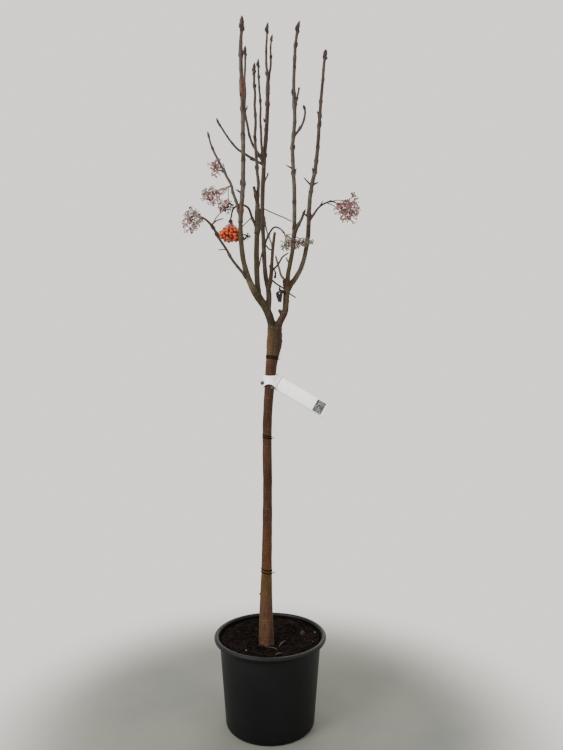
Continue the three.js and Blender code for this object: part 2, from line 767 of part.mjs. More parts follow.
function tagSolid() {
  const { point, radius } = atHeight(limbs.trunk, TAG.height);
  const [length, width] = TAG.strip;
  const [neckLength, neckWidth] = TAG.neck;
  const side = new THREE.Vector3(point.x + radius - TAG.sunk, -radius * TAG.forward, TAG.height);
  const run = new THREE.Vector3(1, 0, 0).applyEuler(new THREE.Euler(0, TAG.slope, TAG.swing, "ZYX"));
  const stripRoot = side.clone().addScaledVector(run, neckLength - TAG.sunk);
  const neck = bar([neckLength, TAG.thickness, neckWidth], side, TAG.slope, TAG.swing);
  const strip = bar([length, TAG.thickness, width], stripRoot, TAG.slope, TAG.swing);
  return clearOf(joined([band(TAG.height, TAG.wrap, TAG.thickness), neck, strip]), trunkSpace);
}

// ---- The assembly ----

const group = new THREE.Group();

function addPiece(name, geometry, look) {
  const mesh = new THREE.Mesh(geometry, new THREE.MeshStandardMaterial(COLOURS[look]));
  mesh.name = name;
  group.add(mesh);
}

addPiece("pot", potGeometry(), "plastic");
addPiece("compost", compostGeometry(), "compost");
Object.entries(wood).forEach(([name, solid]) => addPiece(name, geometryOf(solid), "bark"));
Object.entries(masses).forEach(([name, solid]) => addPiece(name, geometryOf(solid), "shoot"));
Object.entries(TIES.heights).forEach(([name, height]) => {
  addPiece(name, geometryOf(tieSolid(height)), "tie");
});
addPiece("tag", geometryOf(tagSolid()), "tag");

export default group;
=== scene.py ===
"""Looks of a young rowan: on a clear stem, bare in late autumn, in a black nursery container.

The limbs, shoots and fruit heads follow the rule of the part's source, in its millimetres and with its
seeds, and are carried on here to finer rings, buds and stalks. Pieces turn into metres as they are built.
"""
import math

import bpy
from mathutils import Matrix, Vector, kdtree, noise
from mathutils.geometry import intersect_point_line


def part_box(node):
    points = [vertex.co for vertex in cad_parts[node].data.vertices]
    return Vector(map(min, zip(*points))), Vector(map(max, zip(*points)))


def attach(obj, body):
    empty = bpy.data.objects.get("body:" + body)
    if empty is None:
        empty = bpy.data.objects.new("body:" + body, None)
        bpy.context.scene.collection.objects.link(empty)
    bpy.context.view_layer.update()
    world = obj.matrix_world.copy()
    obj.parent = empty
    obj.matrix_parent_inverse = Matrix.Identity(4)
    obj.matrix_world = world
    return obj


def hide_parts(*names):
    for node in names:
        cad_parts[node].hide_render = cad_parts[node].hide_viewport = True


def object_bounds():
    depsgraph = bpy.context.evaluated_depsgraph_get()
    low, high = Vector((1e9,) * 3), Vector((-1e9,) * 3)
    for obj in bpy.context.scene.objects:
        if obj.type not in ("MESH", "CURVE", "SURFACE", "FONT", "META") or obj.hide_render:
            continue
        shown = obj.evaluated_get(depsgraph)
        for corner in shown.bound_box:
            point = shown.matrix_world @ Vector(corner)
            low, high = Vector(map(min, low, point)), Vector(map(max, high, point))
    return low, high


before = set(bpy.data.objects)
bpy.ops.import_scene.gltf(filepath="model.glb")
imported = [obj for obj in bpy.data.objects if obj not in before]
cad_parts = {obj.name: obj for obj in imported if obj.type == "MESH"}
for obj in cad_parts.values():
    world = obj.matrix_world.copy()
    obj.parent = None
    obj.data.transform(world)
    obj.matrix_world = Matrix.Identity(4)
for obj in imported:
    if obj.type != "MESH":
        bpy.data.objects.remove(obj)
cad_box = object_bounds()

MM = 0.001
TURN = 2 * math.pi
X, Y, Z = Vector((1, 0, 0)), Vector((0, 1, 0)), Vector((0, 0, 1))

# ---- The plant, as in the part's source ----

GAP = 0.3
FLARE = {"lobes": 5, "depth": 0.12, "height": 45}
GROWTH = {
    "internode": 36, "first": (0.6, 1.1), "uneven": 0.2, "turn": 2 / 5 * TURN, "unsteady": 0.3, "kink": 1.1,
}
BUD = {"every": 2, "width": 4.6, "sizes": (0.75, 1.25), "seat": 0.7}
TIP_BUD = {
    "length": 24, "width": 7.5, "sunk": 2, "collar": 2.2, "leader": 1.2, "slim": 0.5, "shoot_radius": 3,
}
SPUR = {"every": 5, "length": 13}
STALK = {"spread": 0.62, "knot": 2.4, "fork": 0.6, "overlap": 0.06, "reach": (0.8, 1)}
BERRY = {"radius": 4.8, "packing": 1.5}
CLEARANCE = 1.5
BOX_MARGIN = 5  # how far fruit stalks may pass the solids' box
SLIM = 2.5

# Limbs as stations from the base up: across, back, up, radius.
LEADERS = {
    "trunk": [
        (-11, -21, 217, 22), (-12, -13, 315, 18.8), (-10.5, -6, 430, 15.2), (-8, 0, 640, 13.3),
        (-9, 0, 840, 13.4), (-4.5, 0, 930, 13.7), (4.5, 0, 1030, 17.2), (11, 0, 1078, 22.3),
        (12.5, 0, 1128, 20.5),
    ],
    "left": [
        (8, 0, 1105, 13), (2, 0, 1141, 11.7), (-13, -8, 1180, 12), (-32, -18, 1207, 11.4),
        (-50, -29, 1234, 9.4), (-74, -48, 1304, 7.4), (-82, -62, 1409, 6.9), (-75, -69, 1512, 6.4),
        (-75, -80, 1717, 5.8), (-80, -91, 1881, 5.5), (-77, -96, 1941, 4),
    ],
    "right": [
        (16, 0, 1105, 12), (26, 0, 1138, 10.4), (42, 2, 1172, 9), (49, 3, 1235, 9.3), (71, 16, 1267, 7.4),
        (93, 30, 1312, 6.9), (109, 48, 1389, 6.8), (118, 59, 1527, 6.4), (135, 64, 1619, 6),
        (150, 74, 1803, 5.1), (163, 82, 1955, 4.3),
    ],
    "centre": [
        (-7, -2, 1166, 8.6), (-5, 6, 1225, 8.1), (-14.5, 18, 1277, 6.8), (-20.5, 38, 1373, 6.5),
        (-25, 56, 1486, 6.5), (-20.5, 67, 1622, 6.5), (-12, 75, 1752, 6.2), (-9, 83, 1878, 6),
    ],
    "centre_left": [
        (-32, -16, 1205, 8.6), (-37, -11, 1249, 7.9), (-39.5, -10, 1319, 7.9), (-38.5, -10, 1399, 7.8),
        (-36.5, -11, 1479, 7),
    ],
    "right_inner": [
        (48, 3, 1236, 7.4), (51, -11, 1277, 6.5), (65, -38, 1354, 6.2), (68, -53, 1494, 5.8),
        (63, -58, 1618, 5.5), (69, -62, 1704, 5.2), (66, -66, 1775, 4.9), (70, -70, 1890, 4.4),
        (76, -74, 1946, 4),
    ],
    "cut": [
        (-5, 0, 1232, 6.3), (1, -22, 1259, 6.1), (4, -34, 1290, 5.8), (7, -48, 1336, 5),
        (13.5, -61, 1385, 4),
    ],
}

# Old wood: where each limb's lower part ends and its twigs take over.
BOUGHS = {
    "bough_left": {"limb": "left", "to": 1418},
    "bough_right": {"limb": "right", "to": 1433},
    "bough_centre": {"limb": "centre", "to": 1610},
    "bough_centre_left": {"limb": "centre_left", "to": 1399},
    "bough_right_inner": {"limb": "right_inner", "to": 1368},
    "bough_cut": {"limb": "cut", "to": 1400},
}
SNAG = {"at": 1158, "top": (27, -4, 1174), "radius": (4.4, 3.6)}


def twig(on, at, radii, *through, **more):
    """A shoot: the limb it grows on, the height there, its radii and the places it passes through."""
    return {"on": on, "at": at, "radii": radii, "through": through, **more}


def fruit(on, centre, reach, rays, forks, tints, withered=0, ripe=False):
    """A fruit head at a shoot's end. `withered` is the share of its knobs that still hold a berry."""
    return {
        "from": on, "centre": centre, "reach": reach, "rays": rays, "forks": forks, "tints": tints,
        "withered": withered, "ripe": ripe,
    }


# Twig masses: a stem that carries a limb on above a height, shoots, and spent or ripe fruit heads.
MASSES = {
    "twigs_left": {
        "stem": {"limb": "left", "above": 1418},
        "shoots": {
            "upper_left": twig(
                "left", 1425, (4, 2.2),
                (-93, -56, 1465), (-112, -40, 1526), (-149, -16, 1602), (-170, -5, 1650), (-178, 2, 1676),
            ),
            "upper_left_twin": twig("upper_left", 1526, (1.6, 1.1), (-131, -48, 1576)),
            "left_link": twig("left", 1490, (2.2, 1.5), (-90, -64, 1500)),
            "fruit_stalk_a": twig("upper_left", 1521, (2, 1.4), (-122, -45, 1515), ends="head"),
            "fruit_stalk_b": twig("fruit_stalk_a", 1517, (1.3, 1.1), (-117, -54, 1480), ends="head"),
            "fruit_stalk_c": twig("upper_left", 1568, (1.4, 1.1), (-146, -26, 1569), ends="head"),
        },
        "heads": [
            fruit("fruit_stalk_a", (-165, -48, 1491), (24, 22, 24), 6, 2, ("plum", "pink", "grey", "plum")),
            fruit("fruit_stalk_b", (-125, -54, 1461), (18, 16, 15), 4, 2, ("dark", "plum", "pink"), 0.15),
            fruit("fruit_stalk_c", (-157, -21, 1580), (14, 14, 22), 4, 2, ("plum", "pink")),
        ],
    },
    "twigs_left_low": {
        "shoots": {
            "low_left": twig(
                "left", 1247, (3.8, 2.3),
                (-101, -67, 1302), (-138, -101, 1360), (-166, -120, 1400), (-180, -128, 1408), ends="head",
            ),
            "low_left_spur": twig("low_left", 1331, (1.5, 1.1), (-135, -83, 1331)),
            "low_left_stalk": twig(
                "low_left", 1388, (1.3, 0.9), (-141, -112, 1416), (-118, -106, 1437), ends="cut",
            ),
            "low_left_stalk_b": twig(
                "low_left", 1390, (1.2, 0.9), (-143, -109, 1403), (-127, -99, 1412), ends="cut",
            ),
        },
        "heads": [
            fruit("low_left", (-206, -134, 1399), (25, 24, 31), 7, 3, ("grey", "pink", "grey"), 0.06),
        ],
    },
    "twigs_centre_left": {
        "stem": {"limb": "centre_left", "above": 1399, "ends": "cut"},
        "shoots": {
            "fruit_twig": twig(
                "centre_left", 1404, (3.1, 1.8), (-53, -13, 1442), (-64, -16, 1465), (-84, -14, 1474),
                (-106, -6, 1467), (-116, 3, 1434), ends="head",
            ),
            "centre_left_spur": twig("centre_left", 1473, (3.4, 2.8), (-47, -22, 1525), ends="cut"),
            "centre_left_top": twig(
                "centre_left", 1469, (5.2, 3.5),
                (-35, -13, 1538), (-43, -18, 1645), (-43, -22, 1726), (-46, -30, 1856),
            ),
            "withered_stalk": twig(
                "fruit_twig", 1440, (1.2, 0.9), (-92, 13, 1405), (-68, 13, 1393), ends="cut", bits=12,
            ),
        },
        "heads": [fruit("fruit_twig", (-115, 6, 1396), (21, 18, 18), 8, 4, ("red", "pink"), ripe=True)],
    },
    "twigs_centre": {
        "stem": {"limb": "centre", "above": 1610, "ends": "cut"},
        "shoots": {
            "crossing": twig(
                "centre", 1619, (3.4, 2.2),
                (-55, 61, 1636), (-97, 53, 1660), (-131, 50, 1700), (-155, 48, 1738),
            ),
            "centre_west": twig(
                "centre", 1622, (4.2, 3),
                (-43, 51, 1654), (-63, 34, 1697), (-72, 14, 1747), (-74, -3, 1839), (-73, -14, 1914),
            ),
            "centre_west_inner": twig(
                "centre", 1626, (4.1, 2.9),
                (-28, 51, 1676), (-30, 42, 1747), (-33, 34, 1834), (-37, 26, 1901),
            ),
            "centre_top": twig(
                "centre", 1865, (4.4, 3), (-13.5, 80, 1926), (-14, 74, 1977), (-12, 67, 2027),
            ),
            "centre_top_east": twig(
                "centre", 1865, (3.9, 2.8), (-1, 93, 1934), (-1, 102, 1991), (1, 110, 2024),
            ),
            "centre_east_spur": twig("centre", 1710, (2, 1.4), (4, 61, 1734), solid_only=True),
        },
    },
    "twigs_hook": {
        "shoots": {
            "hook": twig(
                "centre", 1363, (3.3, 1.9), (-10, 32, 1391), (0, 29, 1410), (11, 26, 1420), (27, 19, 1414),
                (38, 13, 1403), (42, 10, 1393), ends="head",
            ),
        },
        "heads": [
            fruit("hook", (58, 6, 1366), (26, 12, 17), 6, 2, ("ash", "ash", "grey"), 0.1),
            fruit("hook", (96, 0, 1370), (27, 8, 8), 2, 3, ("ash", "plum"), 0.3),
        ],
    },
    "twigs_right": {
        "stem": {"limb": "right", "above": 1433},
        "shoots": {
            "fruit_arch": twig(
                "right", 1443, (3.8, 1.9), (130, 50, 1469), (144, 45, 1487), (161, 42, 1497),
                (179, 40, 1501), (195, 38, 1495), ends="head",
            ),
            "arch_bud_twig": twig("fruit_arch", 1483, (1.9, 1.5), (151, 38, 1497)),
            "right_spur": twig("right", 1553, (2.2, 1.5), (103, 58, 1573)),
            "right_spur_low": twig("right", 1555, (2, 1.5), (136, 51, 1559)),
            "right_link": twig("right", 1457, (2, 1.5), (98, 48, 1467)),
            "fruit_wisp": twig(
                "fruit_arch", "tip", (1.3, 0.9), (226, 37, 1498), (245, 35, 1520), ends="cut", bits=14,
            ),
        },
        "heads": [fruit("fruit_arch", (228, 35, 1472), (35, 30, 30), 9, 3, ("pink", "red", "plum"), 0.03)],
    },
    "twigs_right_inner": {
        "stem": {"limb": "right_inner", "above": 1368},
        "shoots": {
            "inner_low": twig(
                "right_inner", 1376, (3.4, 2.5), (78, -56, 1401), (87, -64, 1420), (93, -70, 1434),
            ),
            "inner_mid": twig(
                "right_inner", 1651, (3.1, 2.4),
                (79, -67, 1668), (91, -74, 1686), (97, -78, 1709), (96, -82, 1720),
            ),
            "inner_high": twig("right_inner", 1730, (2.7, 2.1), (75, -67, 1752), (80, -74, 1778)),
            "inner_spur": twig("right_inner", 1563, (1.9, 1.4), (50, -61, 1569)),
        },
    },
    "twig_inner": {
        "shoots": {
            "inner_fine": twig("cut", 1281, (1.9, 1.3), (21, -29, 1299), (36, -24, 1323), (47, -19, 1333)),
        },
    },
    "twig_dead": {
        "shoots": {"straw": twig("cut", 1261, (1.6, 1.2), (36, 29, 1242), (74, 64, 1220), ends="cut")},
    },
    "twig_strand": {
        "shoots": {"strand": twig("centre", 1486, (1.3, 1.1), (19, 6, 1452), (60, -42, 1420), ends="cut")},
    },
    "twig_fork": {
        "shoots": {
            "fork_fine": twig("right", 1250, (2, 1.4), (33, 19, 1277), (24, 24, 1300), (16, 29, 1332)),
        },
    },
    "dried_stalk": {
        "shoots": {
            "withered": twig("right", 1222, (2.2, 1.8), (34, -13, 1230), (29, -13, 1225), ends="head"),
        },
    },
}
RINGS = {"trunk": 36, "bough": 28, "shoot": 32}
DRAWS = {"start": 1234567, "per_seed": 7654321, "factor": 16807, "range": 2147483647}


# ---- The rule of growth, as in the part's source ----


def draws(seed):
    """Repeatable draws between 0 and 1."""
    state = DRAWS["start"] + DRAWS["per_seed"] * seed

    def draw():
        nonlocal state
        state = (state * DRAWS["factor"]) % DRAWS["range"]
        return state / DRAWS["range"]

    return draw


def jitter(draw, amount):
    """A draw between minus and plus an amount."""
    return (2 * draw() - 1) * amount


def lerp(low, high, share):
    return low + (high - low) * share


def within(limits, draw):
    """A draw between two limits."""
    return lerp(*limits, draw())


def towards(angle, rise=0):
    """A direction that stands at an angle round the tree's axis."""
    return Vector((math.cos(angle), math.sin(angle), rise))


def spun(across, back, angle):
    """The direction at an angle in the plane of two others."""
    return across * math.cos(angle) + back * math.sin(angle)


def across_of(along, guide=None):
    """The direction across a line that is nearest to the guide."""
    guide = guide or (X if abs(along.x) < 0.9 else Y)
    return (guide - along * guide.dot(along)).normalized()


def curve_place(points, span, share):
    """A place on the centripetal curve through the points, at a share of one span."""
    here, after = points[span], points[span + 1]
    before = points[span - 1] if span > 0 else 2 * here - after
    beyond = points[span + 2] if span + 2 < len(points) else 2 * after - here
    steps = [(b - a).length ** 0.5 for a, b in ((before, here), (here, after), (after, beyond))]
    first, middle, last = steps
    leave = (here - before) / first - (after - before) / (first + middle) + (after - here) / middle
    arrive = (after - here) / middle - (beyond - here) / (middle + last) + (beyond - after) / last
    leave, arrive = leave * middle, arrive * middle
    square = 3 * (after - here) - 2 * leave - arrive
    cube = 2 * (here - after) + leave + arrive
    return here + leave * share + square * share**2 + cube * share**3


def sampled(stations, spacing):
    """Places and radii along a smooth line through stations, with rings about `spacing` apart."""
    points = [Vector(station[:3]) for station in stations]
    samples = [(points[0], stations[0][3])]
    for span in range(len(points) - 1):
        steps = max(1, int((points[span + 1] - points[span]).length / spacing + 0.5))
        for step in range(1, steps + 1):
            share = step / steps
            radius = lerp(stations[span][3], stations[span + 1][3], share)
            samples.append((curve_place(points, span, share), radius))
    return samples


def between(a, b, share):
    """The sample at a share of the way between two others."""
    return a[0].lerp(b[0], share), lerp(a[1], b[1], share)


def at_height(samples, height):
    """The place and radius where a limb passes a height, or its tip."""
    for low, high in zip(samples, samples[1:]):
        if (low[0].z - height) * (high[0].z - height) <= 0 and low[0].z != high[0].z:
            return between(low, high, (height - low[0].z) / (high[0].z - low[0].z))
    return samples[-1]


def stretch(samples, bottom, top):
    """The stretch of a rising limb between two heights."""
    start = samples[0] if samples[0][0].z >= bottom else at_height(samples, bottom)
    end = samples[-1] if samples[-1][0].z <= top else at_height(samples, top)
    inside = [sample for sample in samples if start[0].z + 1 < sample[0].z < end[0].z - 1]
    return [start, *inside, end]


def frames_along(points):
    """Cross directions carried along a line without twisting: along, across and back."""
    frames, across = [], None
    for i, _ in enumerate(points):
        along = (points[min(i + 1, len(points) - 1)] - points[max(i - 1, 0)]).normalized()
        across = across_of(along, across)
        frames.append((along, across, across.cross(along)))
    return frames


def nodes_along(samples, draw):
    """The places of a shoot's buds, each turned on from the last."""
    nodes = []
    frames = frames_along([point for point, _ in samples])
    following = GROWTH["internode"] * within(GROWTH["first"], draw)
    turn = draw() * TURN
    passed = 0
    for i in range(1, len(samples)):
        length = (samples[i][0] - samples[i - 1][0]).length
        while passed + length >= following:
            point, radius = between(samples[i - 1], samples[i], (following - passed) / length)
            along, across, back = frames[i]
            outward = spun(across, back, turn)
            nodes.append({"point": point, "radius": radius, "along": along, "outward": outward})
            following += GROWTH["internode"] * (1 + jitter(draw, GROWTH["uneven"]))
            turn += GROWTH["turn"] + jitter(draw, GROWTH["unsteady"])
        passed += length
    return nodes


def kinked(samples, draw):
    """Rings near a node are pushed to the side away from its bud, which kinks the shoot."""
    nodes = nodes_along(samples, draw)
    bent = []
    for i, (point, radius) in enumerate(samples):
        near = [node for node in nodes if (node["point"] - point).length < GROWTH["internode"] / 2]
        if near and 0 < i < len(samples) - 1:
            point = point - near[0]["outward"] * GROWTH["kink"]
        bent.append((point, radius))
    return bent


limbs = {}
for limb_name, stations in LEADERS.items():
    limbs[limb_name] = sampled(stations, RINGS["trunk" if limb_name == "trunk" else "bough"])


def tapered(places, radii):
    """Stations through places, whose radii run evenly from the first to the last."""
    return [(*place, lerp(*radii, i / (len(places) - 1))) for i, place in enumerate(places)]


def shoot_samples(shoot, draw):
    """A shoot's samples from its place on the limb that bears it."""
    parent = limbs[shoot["on"]]
    root = parent[-1] if shoot["at"] == "tip" else at_height(parent, shoot["at"])
    return kinked(sampled(tapered([root[0], *shoot["through"]], shoot["radii"]), RINGS["shoot"]), draw)


all_shoots = [pair for mass in MASSES.values() for pair in mass["shoots"].items()]
for seed, (shoot_name, shoot) in enumerate(all_shoots, start=1):
    limbs[shoot_name] = shoot_samples(shoot, draws(seed))


def is_clear_place(place, own):
    """True where a place keeps its distance from every limb but the ones named."""
    for name, samples in limbs.items():
        if name in own:
            continue
        for (start, radius), (end, _) in zip(samples, [*samples[1:], samples[-1]]):
            if start == end:
                near = start
            else:
                near, share = intersect_point_line(place, start, end)
                near = start if share < 0 else end if share > 1 else near
            if (near - place).length <= radius + CLEARANCE:
                return False
    return True


def is_in_box(place):
    """True within the part's box, widened a little."""
    low, high = (corner / MM for corner in cad_box)
    return all(a - BOX_MARGIN < part < b + BOX_MARGIN for a, part, b in zip(low, place, high))


def ball_direction(index, count):
    """Directions spread evenly over a ball."""
    height = 1 - 2 * (index + 0.5) / count
    turn = index * math.pi * (3 - math.sqrt(5))
    level = math.sqrt(1 - height * height)
    return Vector((level * math.cos(turn), level * math.sin(turn), height))


def head_place(head, direction, share):
    """A place in a fruit head, at a share of its reach in a direction."""
    return Vector(direction) * Vector(head["reach"]) * share + Vector(head["centre"])


# ---- Pieces ----

KNOB_FACETS = (5, 7)  # rings and sides


class Piece:
    """One joined mesh under construction. Its places are in millimetres."""

    def __init__(self, name, looks):
        self.name = name
        self.looks = looks
        self.numbers = {look: i for i, look in enumerate(looks)}
        self.places = []
        self.faces = []
        self.kinds = []

    def face(self, corners, look):
        self.faces.append(tuple(corners))
        self.kinds.append(self.numbers[look])

    def mesh(self):
        mesh = bpy.data.meshes.new(self.name)
        mesh.from_pydata([place * MM for place in self.places], [], self.faces)
        for look in self.looks:
            mesh.materials.append(LOOKS[look])
        mesh.polygons.foreach_set("material_index", self.kinds)
        mesh.polygons.foreach_set("use_smooth", [len(face) <= 4 for face in self.faces])
        return mesh

    def build(self, slot, *nodes):
        placed(self.name, self.mesh(), slot, *nodes)


def linked(name, data):
    """A new object in the scene."""
    made = bpy.data.objects.new(name, data)
    bpy.context.scene.collection.objects.link(made)
    return made


def placed(name, mesh, slot, *nodes):
    """An object of the part that rides on its one body and stands for CAD nodes."""
    piece = linked(name, mesh)
    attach(piece, "root")
    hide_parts(*nodes)


def loft(piece, rows, look, is_capped=True):
    """A skin over rows of places. Seen from where the rows lead to, each row turns clockwise.

    `look` is one name, or gives the name for the face after a row and a corner.
    """
    size = len(rows[0])
    name_at = look if callable(look) else lambda row, corner: look
    first = len(piece.places)
    piece.places.extend(place for row in rows for place in row)
    for row in range(len(rows) - 1):
        low, high = first + row * size, first + (row + 1) * size
        for i in range(size):
            j = (i + 1) % size
            piece.face((low + i, high + i, high + j, low + j), name_at(row, i))
    total = len(piece.places)
    if is_capped:
        piece.face(range(first, first + size), name_at(0, 0))
        piece.face(reversed(range(total - size, total)), name_at(len(rows) - 2, 0))


def tube(piece, samples, sides, look, form=None):
    """A tube of rings along the samples. form(ring, outward) gives a place's share of the radius.

    `look` is one name, or gives the name for a ring and an outward direction.
    """
    angles = [TURN * side / sides for side in range(sides)]
    outwards = []
    for _, across, back in frames_along([point for point, _ in samples]):
        outwards.append([spun(across, back, angle) for angle in angles])
    rows = []
    for ring, (point, radius) in enumerate(samples):
        sizes = [radius * form(ring, outward) if form else radius for outward in outwards[ring]]
        rows.append([point + outward * size for outward, size in zip(outwards[ring], sizes)])
    loft(piece, rows, (lambda row, corner: look(row, outwards[row][corner])) if callable(look) else look)


def ringed(amount):
    """A tube's form whose every other ring stands out."""
    return lambda ring, outward: 1 + amount * (ring % 2)


def arc(start, end, bend, radii, steps):
    """Samples of a stalk from start to end that bows out by the vector `bend`."""
    shares = [i / steps for i in range(steps + 1)]
    return [(start.lerp(end, s) + bend * 4 * s * (1 - s), lerp(*radii, s)) for s in shares]


def egg(piece, root, direction, length, width, look, shape, rings, sides):
    """A closed body round an axis. shape(share, angle) gives its half width and a sideways shift."""
    across = across_of(direction)
    back = across.cross(direction)
    rows = []
    for ring in range(rings + 1):
        share = (1 - math.cos(math.pi * ring / rings)) / 2
        row = []
        for side in range(sides):
            angle = TURN * side / sides
            outward = spun(across, back, angle)
            size, shift = shape(share, angle)
            row.append(root + direction * share * length + outward * size * width / 2 + shift * width)
        rows.append(row)
    loft(piece, rows, look)


def round_size(share):
    """A ball's half width at a share of its height."""
    return math.sqrt(max(0.0, 1 - (2 * share - 1) ** 2)) + 0.02


def ball_shape(share, _):
    return round_size(share), Vector()


def knob(piece, place, radius, look):
    """A small ball."""
    size = 2 * radius
    egg(piece, place - Z * radius, Z, size, size, look, ball_shape, *KNOB_FACETS)


# ---- Looks ----


def paint(code):
    """A colour given as six hexadecimal digits, in the shaders' own scale."""
    parts = [int(code[i:i + 2], 16) / 255 for i in (0, 2, 4)]
    return tuple(p / 12.92 if p <= 0.04045 else ((p + 0.055) / 1.055) ** 2.4 for p in parts)


class Look:
    """A node material under construction, round one Principled shader."""

    MIX_A, MIX_B, MIX_RESULT = 6, 7, 2  # a colour mix node's sockets

    def __init__(self, name, colour, roughness, **sockets):
        self.material = bpy.data.materials.new(name)
        self.material.use_nodes = True
        self.tree = self.material.node_tree
        self.shader = self.tree.nodes["Principled BSDF"]
        self.shader.inputs["Base Color"].default_value = (*paint(colour), 1)
        self.shader.inputs["Roughness"].default_value = roughness
        for socket, value in sockets.items():
            self.shader.inputs[socket.replace("_", " ")].default_value = value
        self.here = self.node("ShaderNodeTexCoord").outputs["Object"]

    def feed(self, socket, value):
        """Links an output to a socket, or sets the socket."""
        if isinstance(value, bpy.types.NodeSocket):
            self.tree.links.new(value, socket)
        else:
            socket.default_value = value

    def node(self, kind, inputs=None, **settings):
        """A new node with its settings, and with a value or a link for each input given."""
        made = self.tree.nodes.new(kind)
        for name, value in settings.items():
            setattr(made, name, value)
        for socket, value in (inputs or {}).items():
            self.feed(made.inputs[socket], value)
        return made

    def mapped(self, stretch):
        return self.node("ShaderNodeMapping", {"Vector": self.here, "Scale": stretch}).outputs["Vector"]

    def noise(self, scale, stretch=(1, 1, 1), detail=4, roughness=0.55, distortion=0):
        inputs = {
            "Vector": self.mapped(stretch), "Scale": scale, "Detail": detail, "Roughness": roughness,
            "Distortion": distortion,
        }
        return self.node("ShaderNodeTexNoise", inputs).outputs["Fac"]

    def cells(self, scale, stretch=(1, 1, 1)):
        inputs = {"Vector": self.mapped(stretch), "Scale": scale}
        return self.node("ShaderNodeTexVoronoi", inputs).outputs["Distance"]

    def ranged(self, value, low, high, to_low=0.0, to_high=1.0):
        inputs = {"Value": value, "From Min": low, "From Max": high, "To Min": to_low, "To Max": to_high}
        return self.node("ShaderNodeMapRange", inputs).outputs["Result"]

    def product(self, a, b):
        return self.node("ShaderNodeMath", {0: a, 1: b}, operation="MULTIPLY").outputs["Value"]

    def mix(self, share, a, b):
        """A blend of two colours. Each is an output or six hexadecimal digits."""
        a, b = ((*paint(value), 1) if isinstance(value, str) else value for value in (a, b))
        inputs = {"Factor": share, self.MIX_A: a, self.MIX_B: b}
        return self.node("ShaderNodeMix", inputs, data_type="RGBA").outputs[self.MIX_RESULT]

    def bump(self, height, strength, depth):
        """Adds relief on top of what the material has. depth is in millimetres."""
        made = self.node("ShaderNodeBump", {"Height": height, "Strength": strength, "Distance": depth * MM})
        normal = self.shader.inputs["Normal"]
        if normal.is_linked:
            self.feed(made.inputs["Normal"], normal.links[0].from_socket)
        self.feed(normal, made.outputs["Normal"])

    def colour(self, value):
        self.feed(self.shader.inputs["Base Color"], value)

    def roughness(self, value):
        self.feed(self.shader.inputs["Roughness"], value)


def plain_look(name, colour, roughness, grain=900, depth=0.15, **sockets):
    """A plain base colour with a fine uneven surface, for joined pieces."""
    gloss = 0.3 if roughness < 0.9 else 0.05
    look = Look(name, colour, roughness, **{"Specular_IOR_Level": gloss, **sockets})
    fine = look.noise(grain, detail=3)
    look.bump(fine, 0.6, depth)
    look.roughness(look.ranged(fine, 0.3, 0.7, roughness - 0.12, min(1, roughness + 0.12)))
    return look.material


def shoot_look(name, colour, roughness=0.6):
    """Young bark: a plain base colour, with fine ridges and raised pores."""
    look = Look(name, colour, roughness, Specular_IOR_Level=0.3)
    ridges = look.noise(700, (1, 1, 0.22), detail=3)
    pores = look.ranged(look.cells(260, (1, 1, 0.6)), 0.05, 0.2, 1, 0)
    look.bump(ridges, 0.6, 0.25)
    look.bump(pores, 0.5, 0.3)
    look.roughness(look.ranged(ridges, 0.3, 0.7, roughness - 0.12, roughness + 0.14))
    return look.material


def bark_look():
    """Bark of trunk and boughs: the mesh's tone, with a few patches of painted highlight in it, and patches,
    streaks, pores and fine cracks.
    """
    look = Look("bark", "3c2a20", 0.75, Specular_IOR_Level=0.15)
    tone = look.node("ShaderNodeAttribute", attribute_name="tone").outputs["Color"]
    patches = look.noise(38, (1, 1, 0.45), detail=5, roughness=0.6)
    streaks = look.noise(300, (1, 1, 0.09), detail=4)
    rings = look.noise(120, (0.3, 0.3, 4), detail=3)
    base = look.mix(look.ranged(patches, 0.4, 0.65, 0, 0.6), tone, look.mix(0.6, tone, "150d09"))
    base = look.mix(look.ranged(streaks, 0.5, 0.7, 0, 0.5), base, look.mix(0.3, base, "8a6a4c"))
    base = look.mix(look.ranged(streaks, 0.3, 0.45, 0.5, 0), base, look.mix(0.6, base, "120a07"))
    base = look.mix(look.ranged(rings, 0.3, 0.4, 0.5, 0), base, look.mix(0.7, base, "120a07"))
    base = look.mix(look.ranged(rings, 0.64, 0.72, 0, 0.5), base, look.mix(0.4, base, "9c8468"))
    pores = look.ranged(look.cells(115, (1, 1, 1.8)), 0.08, 0.2, 1, 0)
    sparse = look.product(pores, look.ranged(look.noise(45, detail=1), 0.5, 0.6))
    look.colour(look.mix(look.product(sparse, 0.45), base, "7d6a58"))
    look.roughness(look.ranged(streaks, 0.3, 0.7, 0.5, 0.8))
    look.bump(streaks, 0.6, 0.8)
    look.bump(rings, 0.8, 0.9)
    look.bump(sparse, 0.6, 0.5)
    look.bump(look.noise(1300, detail=2), 0.35, 0.2)
    return look.material


def pot_look():
    """Moulded black plastic, a little dusty, with faint upright drag marks."""
    look = Look("pot_plastic", "0b0c0c", 0.5, Specular_IOR_Level=0.19)
    clouds = look.noise(9, detail=5, roughness=0.6)
    specks = look.ranged(look.noise(500, detail=2), 0.4, 0.65)
    dust = look.product(look.ranged(clouds, 0.45, 0.75), specks)
    look.colour(look.mix(look.product(dust, 0.3), "090b0c", "1a1c1b"))
    look.roughness(look.ranged(clouds, 0.3, 0.7, 0.42, 0.6))
    look.bump(look.noise(220, (1, 1, 0.03), detail=2), 0.25, 0.3)
    look.bump(look.noise(1500, detail=2), 0.3, 0.15)
    return look.material


